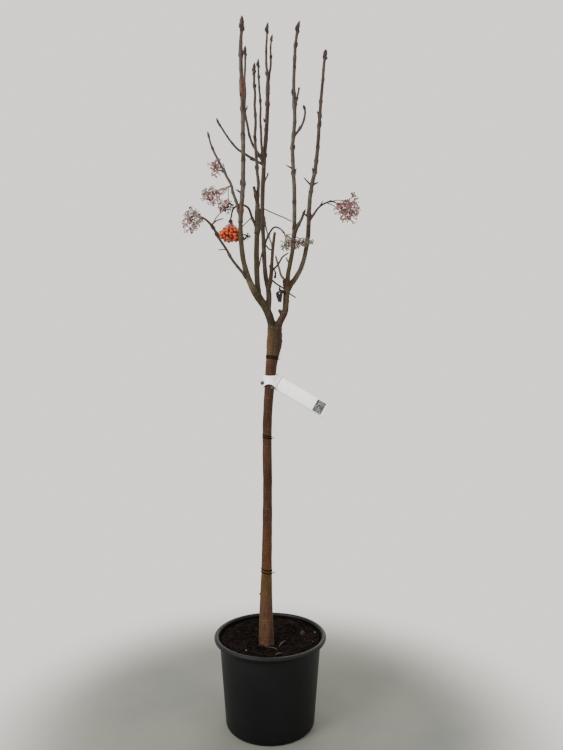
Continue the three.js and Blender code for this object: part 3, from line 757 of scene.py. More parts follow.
def compost_look():
    """Dark damp peat, crumbly and without gloss."""
    look = Look("compost_peat", "0b0706", 0.95, Specular_IOR_Level=0.04)
    crumbs = look.noise(420, detail=5, roughness=0.7)
    base = look.mix(look.ranged(look.noise(60, detail=3), 0.4, 0.65), "0b0808", "1a120f")
    look.colour(look.mix(look.ranged(crumbs, 0.58, 0.75, 0, 0.5), base, "2b1a12"))
    look.bump(crumbs, 1.0, 2.5)
    return look.material


def tag_look():
    """White synthetic paper."""
    look = Look("tag_paper", "fbfbff", 0.5, Specular_IOR_Level=0.8)
    look.colour(look.mix(look.ranged(look.noise(40, detail=3), 0.4, 0.7, 0, 0.25), "fefcff", "f4f2fa"))
    look.bump(look.noise(30, detail=1), 0.3, 1.2)
    return look.material


def print_look():
    """A plain mottled block where the tag's print was."""
    look = Look("tag_block", "6b6570", 0.4)
    spots = look.noise(150, detail=2, distortion=2)
    cold = look.mix(look.ranged(look.noise(60, detail=1), 0.4, 0.6), "8b808f", "6c7f78")
    look.colour(look.mix(look.ranged(spots, 0.46, 0.52), cold, "1a161c"))
    return look.material


LOOKS = {
    "bark": bark_look(),
    "plastic": pot_look(),
    "peat": compost_look(),
    "tag_paper": tag_look(),
    "tag_block": print_look(),
}
SHOOT_COLOURS = {
    "olive": "352f24", "brown": "35281f", "grey": "463b30", "red": "44281b", "wine": "301c16",
    "dark": "241814", "straw": "554838", "black": "0c0908",
}
for tint, colour in SHOOT_COLOURS.items():
    LOOKS["shoot_" + tint] = shoot_look("shoot_" + tint, colour)
# Dried fruit stalks: each tint's colour and roughness.
STALK_COLOURS = {
    "pink": ("b08280", 0.65), "red": ("8c5a54", 0.6), "plum": ("84565b", 0.65), "grey": ("8e7e76", 0.75),
    "ash": ("77735f", 0.75), "dark": ("463933", 0.8), "black": ("1e1714", 0.85),
}
for tint, (colour, roughness) in STALK_COLOURS.items():
    LOOKS["stalk_" + tint] = plain_look("stalk_" + tint, colour, roughness)
# Plain looks: name, colour, roughness, and where they differ from the usual, grain and depth.
for name, *settings in (
    # The pot's inside: the same plastic, painted darker as shade.
    ("plastic_inside", "060504", 0.9, 500, 0.3),
    ("bud_dark", "261917", 0.55, 1400, 0.2), ("bud_red", "2e1c1a", 0.55, 1400, 0.2),
    ("knob_grey", "756a66", 0.8), ("knob_dark", "4c3e3d", 0.8), ("calyx", "2b2a1e", 0.85, 700, 0.3),
    ("berry_eye", "40160b", 0.7), ("berry_dry", "382e2b", 0.8, 700, 0.4),
    ("berry_grey", "4b4441", 0.8, 700, 0.4),
    ("chip_dark", "0c0705", 0.95, 500, 0.5), ("chip_brown", "1f130c", 0.9, 500, 0.5),
    ("chip_tan", "3f3830", 0.9, 500, 0.5), ("chip_pale", "2e2b20", 0.9, 500, 0.5),
    ("grit", "8f8d86", 0.8, 900, 0.2), ("band", "100f0c", 0.9, 600, 0.2),
    # The tag's fold look is painted shade: a grey band where the strip is creased.
    ("tag_edge", "dfe0cc", 0.5, 900, 0.1), ("tag_fold", "8b898f", 0.5, 900, 0.1),
    ("tag_roll", "3c3d3b", 0.7, 900, 0.2),
):
    LOOKS[name] = plain_look(name, *settings)
BERRY_SKIN = {"Subsurface_Weight": 0.15, "Subsurface_Scale": 0.002, "Specular_IOR_Level": 0.5}
for name, colour in (("berry_orange", "a83a0a"), ("berry_red", "7d1f08"), ("berry_amber", "b9511c")):
    LOOKS[name] = plain_look(name, colour, 0.34, 300, 0.2, **BERRY_SKIN)

# Looks that are dealt out by chance, each up to a share of the draws.
DEALT = {
    "bud": (("bud_dark", 0.7), ("bud_red", 1)),
    "knob": (("knob_grey", 0.5), ("knob_dark", 1)),
    "berry": (("berry_orange", 0.55), ("berry_red", 0.8), ("berry_amber", 1)),
    "dry_berry": (("berry_dry", 0.65), ("berry_grey", 1)),
    "chip": (("chip_dark", 0.72), ("chip_brown", 0.985), ("chip_tan", 1)),
    "crumb": (("chip_dark", 0.7), ("chip_brown", 1)),
}


def dealt(kind, draw):
    """A look for one bud, knob, berry or chip."""
    pick = draw()
    return next(look for look, end in DEALT[kind] if pick < end)


# ---- Bark of trunk and boughs ----

WOOD = {
    "ring": 6,
    "sides": 40,
    "sunk": 5,  # how far the stem runs on down inside the compost
    "voxel": 1.62,
    "melt": 3,
    "fade": (10, 0.82),  # over this length a bough narrows to this share, inside its twigs' stem
    "snag_shift": (-2.5, 0, 2),
    "snag_stout": 1.3,
    "snag_sides": 16,
    "stub_sides": 12,
    "knob_sunk": 0.45,
}
# Short stubs: limb, height, turn in degrees, rise, length and radii.
STUBS = [
    ("trunk", 358, 190, 0.35, 7, (2.4, 1.4)), ("right", 1234, 180, 3.4, 21, (10, 6.2)),
    ("right", 1240, 250, 0.6, 4, (4.5, 3)), ("cut", 1284, 180, 3, 10, (5, 3.6)),
    ("right", 1196, 0, 0.4, 2.5, (4, 2.4)), ("left", 1219, 20, 0.3, 4, (6, 3)),
    ("centre", 1257, 180, 1.2, 5, (4.4, 3)),
]
# Root knobs at the stem's foot: turn in degrees, radius and height.
KNOBS = [
    (-150, 4, 5), (-118, 6, 6), (-88, 5, 2), (-62, 6.5, 7), (-32, 5, 3), (25, 5, 4), (80, 6, 5), (140, 5, 3),
]
BARK_TONES = {
    "ash": "3e2a24", "tan": "462f20", "ochre": "493513", "rust": "42270f", "umber": "3a2114",
    "soot": "30180d", "moss": "2d2214", "dark_moss": "211d0f", "olive": "36301f", "sage": "3e3a2c",
    # The pale olive colour is a painted highlight.
    "wine": "2b1a17", "red_brown": "38291f", "grey_brown": "3d342a", "painted_highlight_olive": "655b45",
    # The fawn colour is partly the bark's own tan and partly a painted highlight.
    "slate": "343830", "pale_bark": "4c4237", "blood": "46271e", "fawn_and_painted_highlight": "624727",
}
# Where each tone stands up a limb.
TONES = {
    "trunk": [
        (225, "ash"), (252, "tan"), (341, "tan"), (384, "ochre"), (456, "rust"), (560, "umber"),
        (686, "soot"), (772, "umber"), (873, "soot"), (925, "umber"), (1020, "umber"), (1062, "moss"),
        (1117, "dark_moss"),
    ],
    "left": [(1130, "dark_moss"), (1210, "olive"), (1300, "sage"), (1420, "grey_brown")],
    "right": [
        (1130, "wine"), (1166, "red_brown"), (1188, "olive"), (1245, "olive"), (1275, "pale_bark"),
        (1350, "pale_bark"), (1380, "wine"), (1430, "red_brown"),
    ],
    "centre": [
        (1166, "red_brown"), (1190, "grey_brown"), (1260, "grey_brown"), (1330, "pale_bark"),
        (1440, "grey_brown"), (1610, "red_brown"),
    ],
    "centre_left": [(1205, "dark_moss"), (1240, "slate"), (1320, "olive"), (1400, "sage")],
    "right_inner": [(1236, "wine"), (1290, "olive"), (1370, "grey_brown")],
    "cut": [(1232, "grey_brown"), (1262, "red_brown"), (1400, "red_brown")],
}
# Knobbly rings where limbs part, and patches: limb, height, how far to its right, reach, swelling and tone.
MARKS = [
    ("left", 1220, 6, 17, 1.7, "dark_moss"), ("right", 1246, -3, 18, 2.4, "blood"),
    ("right", 1166, 0, 11, 0.9, "wine"), ("trunk", 1128, 0, 18, 1, "dark_moss"),
    # The pale olive patch on the left of the left bough is a painted highlight where the light falls from the
    # left.
    ("trunk", 1090, 14, 22, 0.9, "wine"), ("left", 1240, -7, 17, 0, "painted_highlight_olive"),
    ("centre", 1368, 0, 9, 0.8, "wine"), ("left", 1262, 0, 9, 0.7, "olive"),
    # The fawn patches on the trunk's left side are partly tan bark and partly a painted highlight where the
    # light falls from the left.
    ("trunk", 1100, -24, 22, 0, "fawn_and_painted_highlight"), ("trunk", 1070, -22, 22, 0, "fawn_and_painted_highlight"),
    ("trunk", 1040, -20, 20, 0, "fawn_and_painted_highlight"),
]
MARK_STRENGTH = 0.8
# The bark's unevenness: each kind's size across and up the limb, and a shift that makes it differ.
GRAINS = {"fissures": (3.4, 32, 0), "swells": (26, 32, 7), "wrinkles": (16, 2.8, 0), "knobs": (7, 8, 3)}
ROUGH_FOOT = 70  # the stem's foot is rough over about this height
ROUGH_FORK = (1085, 55)  # height and reach of the rough fork
fine_trunk = sampled(LEADERS["trunk"], WOOD["ring"])


def flare_form(samples):
    """The root flare: lobes that fade up the stem."""

    def form(ring, outward):
        rise = samples[ring][0].z - LEADERS["trunk"][0][2]
        lobes = math.cos(FLARE["lobes"] * math.atan2(-outward.y, outward.x))
        return 1 + FLARE["depth"] * math.exp(-max(rise, 0) / FLARE["height"]) * lobes

    return form


def wood_lines():
    """Finely sampled trunk and boughs. Each bough's end narrows away inside its twigs' stem."""
    foot, radius = fine_trunk[0]
    lines = {"trunk": [(foot - Z * WOOD["sunk"], radius), *fine_trunk]}
    length, share = WOOD["fade"]
    for bough in BOUGHS.values():
        samples = stretch(sampled(LEADERS[bough["limb"]], WOOD["ring"]), 0, bough["to"])
        tip = samples[-1][0]
        hidden = bough["limb"] != "cut"
        lines[bough["limb"]] = [
            (point, radius * (share if hidden and (tip - point).length < length else 1))
            for point, radius in samples
        ]
    return lines


def grain(name, place):
    """One kind of unevenness at a place, about -1 to 1."""
    across, up, shift = GRAINS[name]
    return noise.noise(Vector((place.x / across, place.y / across, place.z / up + shift)))


def relief(place, marks):
    """How far the bark stands out at a place, in millimetres."""
    fissures, swells, wrinkles, knobs = (grain(name, place) for name in GRAINS)
    height, reach = ROUGH_FORK
    foot = math.exp(-(place.z - SOIL["height"]) / ROUGH_FOOT)
    fork = math.exp(-(((place.z - height) / reach) ** 2))
    out = 0.32 * fissures + 0.7 * swells + 0.1 * wrinkles
    out += foot * (1.6 * max(0, knobs) + 1.0 * fissures)
    out += fork * (0.9 * max(0, wrinkles) + 0.8 * knobs)
    for centre, reach, swell, _ in marks:
        share = math.exp(-(((place - centre).length / reach) ** 2))
        out += swell * share * (0.6 + 1.4 * max(0, knobs) + 0.8 * wrinkles)
    return out


def bark_tone(name):
    return Vector(paint(BARK_TONES[name]))


def tone_at(limb, height):
    """A limb's tone at a height, blended between the stops."""
    stops = TONES[limb]
    height = min(max(height, stops[0][0]), stops[-1][0])
    for (low, below), (high, above) in zip(stops, stops[1:]):
        if height <= high:
            return bark_tone(below).lerp(bark_tone(above), (height - low) / (high - low))


def melted(piece):
    """One skin round all of a piece's overlapping bodies."""
    stock = linked("stock", piece.mesh())
    remesh = stock.modifiers.new("skin", "REMESH")
    remesh.mode = "VOXEL"
    remesh.voxel_size = WOOD["voxel"] * MM
    smooth = stock.modifiers.new("soften", "SMOOTH")
    smooth.iterations = WOOD["melt"]
    graph = bpy.context.evaluated_depsgraph_get()
    mesh = bpy.data.meshes.new_from_object(stock.evaluated_get(graph))
    bpy.data.objects.remove(stock)
    return mesh


def wood_stock(lines):
    """The limbs as overlapping tubes, with the snag, the short stubs and the root knobs."""
    piece = Piece("bark", ["bark"])
    for limb, samples in lines.items():
        tube(piece, samples, WOOD["sides"], "bark", flare_form(samples) if limb == "trunk" else None)
    root = at_height(lines["right"], SNAG["at"])[0]
    top = Vector(SNAG["top"]) + Vector(WOOD["snag_shift"])
    radii = [radius * WOOD["snag_stout"] for radius in SNAG["radius"]]
    tube(piece, arc(root, top, Vector(), radii, 4), WOOD["snag_sides"], "bark")
    for limb, height, turn, rise, length, radii in STUBS:
        root, radius = at_height(lines[limb], height)
        side = towards(math.radians(turn), rise).normalized()
        tube(piece, arc(root, root + side * (radius + length), Z, radii, 4), WOOD["stub_sides"], "bark")
    for turn, size, lift in KNOBS:
        centre, radius = at_height(lines["trunk"], SOIL["height"] + lift)
        knob(piece, centre + towards(math.radians(turn)) * (radius - size * WOOD["knob_sunk"]), size, "bark")
    return piece


def build_bark():
    """One skin of trunk and boughs, with the bark's relief, and with its tone at each vertex, patches of
    painted highlight included.
    """
    lines = wood_lines()
    mesh = melted(wood_stock(lines))
    axes = [(limb, point) for limb, samples in lines.items() for point, _ in samples]
    tree = kdtree.KDTree(len(axes))
    for i, (_, point) in enumerate(axes):
        tree.insert(point, i)
    tree.balance()
    marks = [
        (at_height(lines[limb], height)[0] + X * right, reach, swell, bark_tone(tone))
        for limb, height, right, reach, swell, tone in MARKS
    ]
    tones = []
    normals = [vertex.normal.copy() for vertex in mesh.vertices]
    for vertex, normal in zip(mesh.vertices, normals):
        place = vertex.co / MM
        near = tree.find_n(place, 4)
        weights = [1 / (distance + 0.5) ** 3 for _, _, distance in near]
        tone = Vector()
        for weight, (_, i, _) in zip(weights, near):
            tone += tone_at(axes[i][0], place.z) * weight / sum(weights)
        for centre, reach, _, mark in marks:
            tone = tone.lerp(mark, MARK_STRENGTH * math.exp(-(((place - centre).length / reach) ** 2)))
        tones.extend((*tone, 1))
        vertex.co += normal * relief(place, marks) * MM
    mesh.attributes.new("tone", "FLOAT_COLOR", "POINT").data.foreach_set("color", tones)
    mesh.materials.clear()
    mesh.materials.append(LOOKS["bark"])
    mesh.polygons.foreach_set("use_smooth", [True] * len(mesh.polygons))
    placed("bark", mesh, "bark", "trunk", *BOUGHS)


# ---- Shoots, buds and fruit ----

SHOOT = {
    "ring": 1.8,
    "sides": 14,
    "overlap": 8,  # how far a stem starts down inside its bough
    "kink": 1.5,
    "kink_length": 9,
    "swell": 0.16,
    "swell_length": 4.5,
    "cushion": 0.55,
    "cushion_length": 4,
    "collar": 0.45,
    "collar_length": 5,
    "scar": (5, 0.3),  # bark is darker within this distance of a bud, on its side
    "near": 14,  # a node shapes its shoot within this distance
    "weak": 0.25,  # how strong every other node is
    "bare": 110,  # no spurs this near to the tip
    "base": 15,  # the foot of each shoot is redder
    "mottle": (11, 0.3),  # size of the patches in millimetres, and how much of the bark they spare
}
SPUR_FINE = {
    "short": 0.35, "radius": (2.8, 2.4), "bud": (10, 5.2), "steps": 10, "sides": 10, "rings": 0.12,
}
BUD_FINE = {"large": (15.5, 6.4), "small": (7, 3.4), "tilt": 0.2, "stout": 5.4, "rings": 12, "sides": 12}
# Shoot tones up each limb: the height where a tone starts.
SHOOT_TONES = {
    "left": [
        (0, "olive"), (1434, "red"), (1462, "olive"), (1725, "wine"), (1742, "red"), (1792, "wine"),
        (1830, "brown"),
    ],
    "right": [(0, "wine"), (1460, "brown"), (1480, "olive"), (1600, "brown")],
    "right_inner": [(0, "olive"), (1740, "brown")],
    "centre": [(0, "brown"), (1700, "wine"), (1840, "brown")],
    "centre_left": [(0, "olive")],
    "centre_left_top": [(0, "brown")],
    "upper_left": [(0, "olive"), (1560, "brown")],
    "low_left": [(0, "olive"), (1352, "wine")],
    "left_link": [(0, "dark")],
    "centre_left_spur": [(0, "wine")],
    "straw": [(0, "dark")],
    "strand": [(0, "dark")],
    "fork_fine": [(0, "straw")],
    "withered": [(0, "black")],
}
# The looks that mottle each tone: darker, main and lighter.
MOTTLES = {
    "olive": ("brown", "olive", "grey"), "brown": ("dark", "brown", "olive"), "red": ("wine", "red", "brown"),
    "wine": ("dark", "wine", "red"), "dark": ("dark", "dark", "brown"), "straw": ("straw",) * 3,
    "black": ("black",) * 3,
}
# Thick stretches of shoots where a year's growth ended: height, half length and swelling.
SWELLINGS = {
    "left": [(1771, 17, 0.42), (1797, 6, 0.25), (1875, 6, 0.2), (1640, 6, 0.12)],
    "right": [(1768, 7, 0.3), (1630, 6, 0.2)],
    "low_left": [(1385, 5, 0.7), (1367, 6, 0.6)],
    "right_inner": [(1865, 8, 0.25), (1738, 12, 0.28), (1655, 7, 0.2)],
    "centre": [(1855, 14, 0.18), (1700, 6, 0.15)],
}
# How much thicker some shoots are than the rule makes them.
STOUT = {
    "straw": 1.7, "inner_fine": 1.6, "fork_fine": 2, "strand": 1.4, "right_link": 1.4, "inner_mid": 1.2,
    "withered_stalk": 1.3, "inner_low": 1.45, "inner_high": 1.3, "centre_left_spur": 1.5,
    "inner_spur": 1.3, "right_spur": 1.4, "right_spur_low": 1.6, "low_left_stalk": 1.3,
    "low_left_stalk_b": 1.8, "crossing": 1.25, "upper_left": 1.22, "low_left": 1.15, "fruit_twig": 1.3,
    "left_link": 1.6,
}
# Tip buds of the strong shoots: length, width, bluntness and lean.
TIPS = {
    "left": (34, 14.5, 0.5, 0.3), "right": (26, 13.5, 1, 0.6), "right_inner": (31, 13, 0.2, 1.1),
    "centre_top": (30, 12, 0.1, 1), "centre_top_east": (22, 9, 0.2, 0.6), "centre_west": (25, 11, 0.4, 0.5),
    "centre_west_inner": (22, 9.5, 0, 0.8), "centre_left_top": (25, 11, 0.4, 0.5),
    "inner_mid": (14, 9, 0.7, -1.3), "inner_high": (9, 6.6, 1, 0), "inner_low": (18, 8.4, 0.4, 0.5),
    "crossing": (20, 8, 0.6, 0.4), "upper_left": (27, 8.4, 0.3, 0.4),
}
# The two smaller buds beside a strong shoot's tip bud: side and share of its length.
TIP_PAIR = {
    "sides": ((-1, 0.6), (1, 0.5)), "from_size": 0.9, "lean": 0.22, "out": 0.8, "inward": 1.2, "slim": 0.7,
    "blunt": 0.4,
}
STALK_FINE = {
    "ray": (1.9, 1.5),
    "fork": (1.45, 1.05),
    "pedicel": (0.95, 0.75),
    "sprays": 6,  # further forks for each ray of the rule
    "out": (0.4, 1.02),  # how far out in a head's reach their ends lie
    "count": 3,
    "length": (5, 11),
    "spread": 0.75,
    "knob": (1.3, 2.1),
    "sides": 5,
    "bow": 0.16,
}
BERRY_FINE = {
    "flat": 0.94, "rings": 12, "sides": 16, "sizes": (0.92, 1.12),
    "dimple": (0.09, 0.32),  # depth and width, as shares of the berry's
    "swing": 9,  # how unevenly berries hang, against the drop below
    "drop": 12,
    "stalk": (0.8, 0.7),
    "foot": 0.45,  # how far along from the hub a ripe berry's stalk starts
    "dry": (0.4, 0.62),
    "dry_rings": 9,
    "dry_sides": 12,
    "wrinkle": 0.16,
}
# The dried lobes round a berry's eye, in shares of its radius.
LOBE = {"count": 5, "root": 0.78, "out": 0.2, "up": 0.14, "radii": (0.06, 0.03), "sides": 5}
# Berries that fill a ripe cluster: how many, tries, distance apart, and how it widens downwards.
FILL = {"count": 84, "tries": 2600, "apart": 7.2, "wide": 1.3, "narrowing": 0.5, "stretch": 1.25}
# Dried bracts above the ripe cluster: turn, drop, length and width.
BRACTS = ((0.4, 2, 14, 9), (2.6, 4, 12, 7), (5.6, 8, 20, 6), (4.4, 3, 13, 6))
BRACT_FINE = {"lean": -1.3, "blunt": 0.5, "rings": 9, "sides": 10}

shoots = Piece("shoots", ["shoot_" + tint for tint in SHOOT_COLOURS])
buds = Piece("buds", ["bud_dark", "bud_red"])
stalks = Piece("fruit_stalks", ["stalk_" + tint for tint in STALK_COLOURS])
knobs = Piece("fruit_knobs", ["knob_grey", "knob_dark", "stalk_pink", "stalk_plum", "calyx"])
berries = Piece("berries", ["berry_orange", "berry_red", "berry_amber", "berry_eye"])
dry_berries = Piece("withered_berries", ["berry_dry", "berry_grey"])
fine_draw = draws(900)


def shaken(draw, amount=1):
    """An uneven offset, drawn each way on its own."""
    return Vector((jitter(draw, amount), jitter(draw, amount), jitter(draw, amount)))


def bud_shape(inward, blunt):
    """An egg of overlapping scales, pointed or blunt, whose tip bends inward."""
    power = lerp(0.6, 1.0, blunt)

    def shape(share, angle):
        size = max(0.0, math.sin(math.pi * min(1, share**power + 0.001))) ** lerp(0.75, 0.5, blunt)
        size = max(size, 0.62 * (1 - share / 0.3)) * (1 - 0.3 * (1 - blunt) * share)
        ledge = (2.6 * share + angle / TURN) % 1
        return size * (1.08 - 0.2 * ledge) + 0.03, inward * 0.35 * share**2

    return shape


def grow_bud(root, direction, inward, length, width, blunt=0):
    """A bud from its root, dark or reddish."""
    look = dealt("bud", fine_draw)
    shape = bud_shape(inward, blunt)
    egg(buds, root, direction, length, width, look, shape, BUD_FINE["rings"], BUD_FINE["sides"])


def side_bud(node, kind, size):
    """A bud pressed to its shoot."""
    along, outward = node["along"], node["outward"]
    length, width = BUD_FINE[kind]
    size *= min(1, node["radius"] / BUD_FINE["stout"])
    direction = (along + outward * BUD_FINE["tilt"]).normalized()
    root = node["point"] + outward * (node["radius"] * BUD["seat"] + width * 0.1) - along * 3
    grow_bud(root, direction, -outward * 0.4, length * size, width * size)


def tip_bud(name, samples, size):
    """The bud that ends a shoot. A strong shoot's bud has two smaller ones beside it."""
    (before, _), (tip, radius) = samples[-2:]
    direction = (tip - before).normalized()
    usual = (TIP_BUD["length"] * size, max(TIP_BUD["width"] * size, TIP_BUD["collar"] * radius), 0, 0.6)
    length, width, blunt, lean = TIPS.get(name, usual)
    root = tip - direction * (TIP_BUD["sunk"] + 0.12 * length)
    across = across_of(direction)
    turn = 0.7 * math.sin(tip.z)
    side = spun(across, across.cross(direction), turn)
    grow_bud(root, direction, side * lean, length, width, blunt)
    if size >= TIP_PAIR["from_size"]:
        slim = width * TIP_PAIR["slim"]
        for sign, share in TIP_PAIR["sides"]:
            away = (direction + side * TIP_PAIR["lean"] * sign).normalized()
            foot = root + side * radius * TIP_PAIR["out"] * sign - direction * (3 + 2 * sign)
            grow_bud(foot, away, -side * sign * TIP_PAIR["inward"], length * share, slim, TIP_PAIR["blunt"])


def spur(node):
    """A short side shoot with ringed bark that ends in a bud."""
    length = SPUR["length"] * SPUR_FINE["short"]
    tip = node["point"] + node["outward"] * (node["radius"] + length * 0.5) + node["along"] * length
    heading = (tip - node["point"]).normalized()
    samples = arc(node["point"], tip, node["along"] * -1, SPUR_FINE["radius"], SPUR_FINE["steps"])
    tube(shoots, samples, SPUR_FINE["sides"], "shoot_brown", ringed(SPUR_FINE["rings"]))
    grow_bud(tip - heading * 2, (heading + node["along"]).normalized(), -node["outward"], *SPUR_FINE["bud"])


def refined(name, samples, nodes):
    """Fine rings through a shoot's samples, kinked at its nodes and thicker where its years end."""
    line = sampled([(*point, radius) for point, radius in samples], SHOOT["ring"])
    bent = []
    for point, radius in line:
        for height, length, swell in SWELLINGS.get(name, []):
            radius *= 1 + swell * math.exp(-(((point.z - height) / length) ** 2))
        for node in nodes:
            off = (point - node["point"]).length / SHOOT["kink_length"]
            if off < 2:
                point = point - node["outward"] * SHOOT["kink"] * node["strength"] * math.exp(-off * off)
        bent.append((point, radius))
    return bent


def beside(point, nodes):
    """How far along the shoot nearby nodes lie, which way their buds stand and how strong they are."""
    near = [node for node in nodes if (point - node["point"]).length < SHOOT["near"]]
    return [((point - node["point"]).dot(node["along"]), node["outward"], node["strength"]) for node in near]


def shoot_form(line, nodes, collar):
    """Swellings at the nodes, each with a cushion under its bud, and a collar at the foot."""
    passed = [0.0]
    for (a, _), (b, _) in zip(line, line[1:]):
        passed.append(passed[-1] + (b - a).length)
    near = [beside(point, nodes) for point, _ in line]

    def form(ring, outward):
        size = 1 + collar * math.exp(-passed[ring] / SHOOT["collar_length"])
        for off, out, strength in near[ring]:
            size += strength * SHOOT["swell"] * math.exp(-((off / SHOOT["swell_length"]) ** 2))
            facing = strength * max(0, outward.dot(out)) ** 3
            size += SHOOT["cushion"] * facing * math.exp(-(((off + 3) / SHOOT["cushion_length"]) ** 2))
        return size

    return form


def shoot_looks(name, line, nodes):
    """The look of each face of a shoot: its limb's tone, mottled, and dark round its larger buds."""
    stops = SHOOT_TONES.get(name, [(0, "brown")])
    foot = line[0][0]
    length, facing = SHOOT["scar"]
    scale, spare = SHOOT["mottle"]
    tones, near = [], [beside(point, nodes[::2]) for point, _ in line]
    for point, _ in line:
        tone = [tone for height, tone in stops if point.z >= height][-1]
        is_foot = name not in LEADERS and (point - foot).length < SHOOT["base"]
        tones.append("wine" if is_foot and tone in ("olive", "brown") else tone)

    def look(ring, outward):
        point, radius = line[ring]
        dark, main, light = MOTTLES[tones[ring]]
        is_scar = any(abs(off) < length and outward.dot(out) > facing for off, out, _ in near[ring])
        place = point + outward * radius * 1.6
        level = noise.noise(Vector((place.x, place.y, place.z * 0.6)) / scale)
        if is_scar and main not in ("straw", "black"):
            return "shoot_dark"
        return "shoot_" + (dark if level > spare else light if level < -spare else main)

    return look


def grow_shoot(name, samples, draw, is_clear, is_slim, ends, size):
    """A shoot with buds and spurs at its nodes, and a tip bud unless it ends in a head or a cut."""
    nodes = [] if is_slim else nodes_along(samples, draw)
    for i, node in enumerate(nodes):
        node["strength"] = 1 if i % BUD["every"] == 0 else SHOOT["weak"]
    line = refined(name, samples, nodes)
    if name in LEADERS:
        start, end = line[0][0], line[1][0]
        line.insert(0, (start - (end - start).normalized() * SHOOT["overlap"], line[0][1]))
    collar = 0.06 if name in LEADERS else SHOOT["collar"]
    tube(shoots, line, SHOOT["sides"], shoot_looks(name, line, nodes), shoot_form(line, nodes, collar))
    for i, node in enumerate(nodes):
        is_spur = i % SPUR["every"] == SPUR["every"] - 1
        reach = node["point"] + node["outward"] * (SPUR["length"] if is_spur else BUD["width"])
        if not is_clear(reach):
            continue
        if is_spur and (line[-1][0] - node["point"]).length > SHOOT["bare"]:
            spur(node)
        elif is_spur or i % BUD["every"] == 0:
            side_bud(node, "large", within(BUD["sizes"], draw))
        else:
            side_bud(node, "small", within(BUD["sizes"], fine_draw))
    if not ends:
        tip_bud(name, line, size)


def stalk(start, end, radii, tint, draw):
    """A thin, bowed fruit stalk. Gives its samples."""
    bend = shaken(draw) * (end - start).length * STALK_FINE["bow"]
    samples = arc(start, end, bend, radii, 4)
    tube(stalks, samples, STALK_FINE["sides"], "stalk_" + tint)
    return samples


def berry(place, axis, radius, look):
    """A ripe berry, a little flat, with a dark eye in the dimple at its free end."""
    rings = BERRY_FINE["rings"]
    depth, width = BERRY_FINE["dimple"]
    start = place - axis * radius * BERRY_FINE["flat"]

    def shape(share, _):
        size = round_size(share)
        return size, -axis * depth * math.exp(-((size / width) ** 2)) * (1 if share > 0.5 else 0)

    def eyed(ring, _):
        return "berry_eye" if ring == rings - 1 else look

    length = 2 * radius * BERRY_FINE["flat"]
    egg(berries, start, axis, length, 2 * radius, eyed, shape, rings, BERRY_FINE["sides"])
    radii = [radius * share for share in LOBE["radii"]]
    for lobe in range(LOBE["count"]):
        out = axis.orthogonal().normalized()
        out.rotate(Matrix.Rotation(TURN * lobe / LOBE["count"], 3, axis))
        root = place + axis * radius * LOBE["root"]
        tip = root + out * radius * LOBE["out"] + axis * radius * LOBE["up"]
        tube(berries, arc(root, tip, Vector(), radii, 2), LOBE["sides"], "berry_eye")


def dry_berry(place, radius):
    """A shrivelled berry."""
    look = dealt("dry_berry", fine_draw)

    def shape(share, angle):
        size = round_size(share)
        wrinkle = BERRY_FINE["wrinkle"] * math.sin(5 * angle + 9 * share + place.x)
        return size * (1 + wrinkle * size), Vector()

    facets = BERRY_FINE["dry_rings"], BERRY_FINE["dry_sides"]
    egg(dry_berries, place - Z * radius, Z, 2 * radius, 2 * radius, look, shape, *facets)


def pedicels(start, away, tint, is_clear, count, withered):
    """The fine ends of a spent fork: short stalks, each with the knob that bore a berry."""
    for _ in range(count):
        heading = (away + shaken(fine_draw) * STALK_FINE["spread"]).normalized()
        tip = start + heading * within(STALK_FINE["length"], fine_draw)
        if not (is_clear(tip) and is_in_box(tip)):
            continue
        stalk(start, tip, STALK_FINE["pedicel"], tint, fine_draw)
        if fine_draw() < withered:
            dry_berry(tip, BERRY["radius"] * within(BERRY_FINE["dry"], fine_draw))
        else:
            look = dealt("knob", fine_draw)
            knob(knobs, tip, within(STALK_FINE["knob"], fine_draw), look)


def spent_fork(head, hub, fork, direction, draw, is_clear, tint):
    """The forks of one ray by the rule, and the places along them where finer ones start."""
    root = fork.lerp(hub, STALK["overlap"])
    feet = []
    for _ in range(head["forks"]):
        spread = (direction + shaken(draw) * STALK["spread"]).normalized()
        tip = head_place(head, spread, within(STALK["reach"], draw))
        if not is_clear(tip):
            continue
        samples = stalk(root, tip, STALK_FINE["fork"], tint, fine_draw)
        feet += [(place, tint) for place, _ in samples[1:]]
        pedicels(tip, (tip - root).normalized(), tint, is_clear, STALK_FINE["count"], head["withered"])
    return feet


def sprays(head, feet, is_clear):
    """Finer forks that fill a head evenly, each from the nearest stalk, with pedicels at its end."""
    count = head["rays"] * STALK_FINE["sprays"]
    for i in range(count):
        direction = ball_direction(i, count) + shaken(fine_draw, 0.2)
        tip = head_place(head, direction, within(STALK_FINE["out"], fine_draw))
        if not is_clear(tip):
            continue
        foot, tint = min(feet, key=lambda pair: (pair[0] - tip).length)
        stalk(foot, tip, STALK_FINE["fork"], tint, fine_draw)
        pedicels(tip, (tip - foot).normalized(), tint, is_clear, STALK_FINE["count"], head["withered"])


def hung_berry(hub, spot):
    """A ripe berry on its short stalk."""
    look = dealt("berry", fine_draw)
    swing = BERRY_FINE["swing"]
    lean = Vector((jitter(fine_draw, swing), jitter(fine_draw, swing), -BERRY_FINE["drop"]))
    hang = (spot - hub + lean).normalized()
    berry(spot, hang, BERRY["radius"] * within(BERRY_FINE["sizes"], fine_draw), look)
    foot, end = hub.lerp(spot, BERRY_FINE["foot"]), spot - hang * BERRY["radius"] * 0.9
    stalk(foot, end, BERRY_FINE["stalk"], "red", fine_draw)


def ripe_bunch(head, place, draw):
    """Places of a berry at the end of a ray and of the others packed round it."""
    turn = Matrix.Rotation(draw() * TURN, 3, "Z")
    step = BERRY["radius"] * BERRY["packing"]
    return [place, *[place + (turn @ ball_direction(i, head["forks"])) * step for i in range(head["forks"])]]


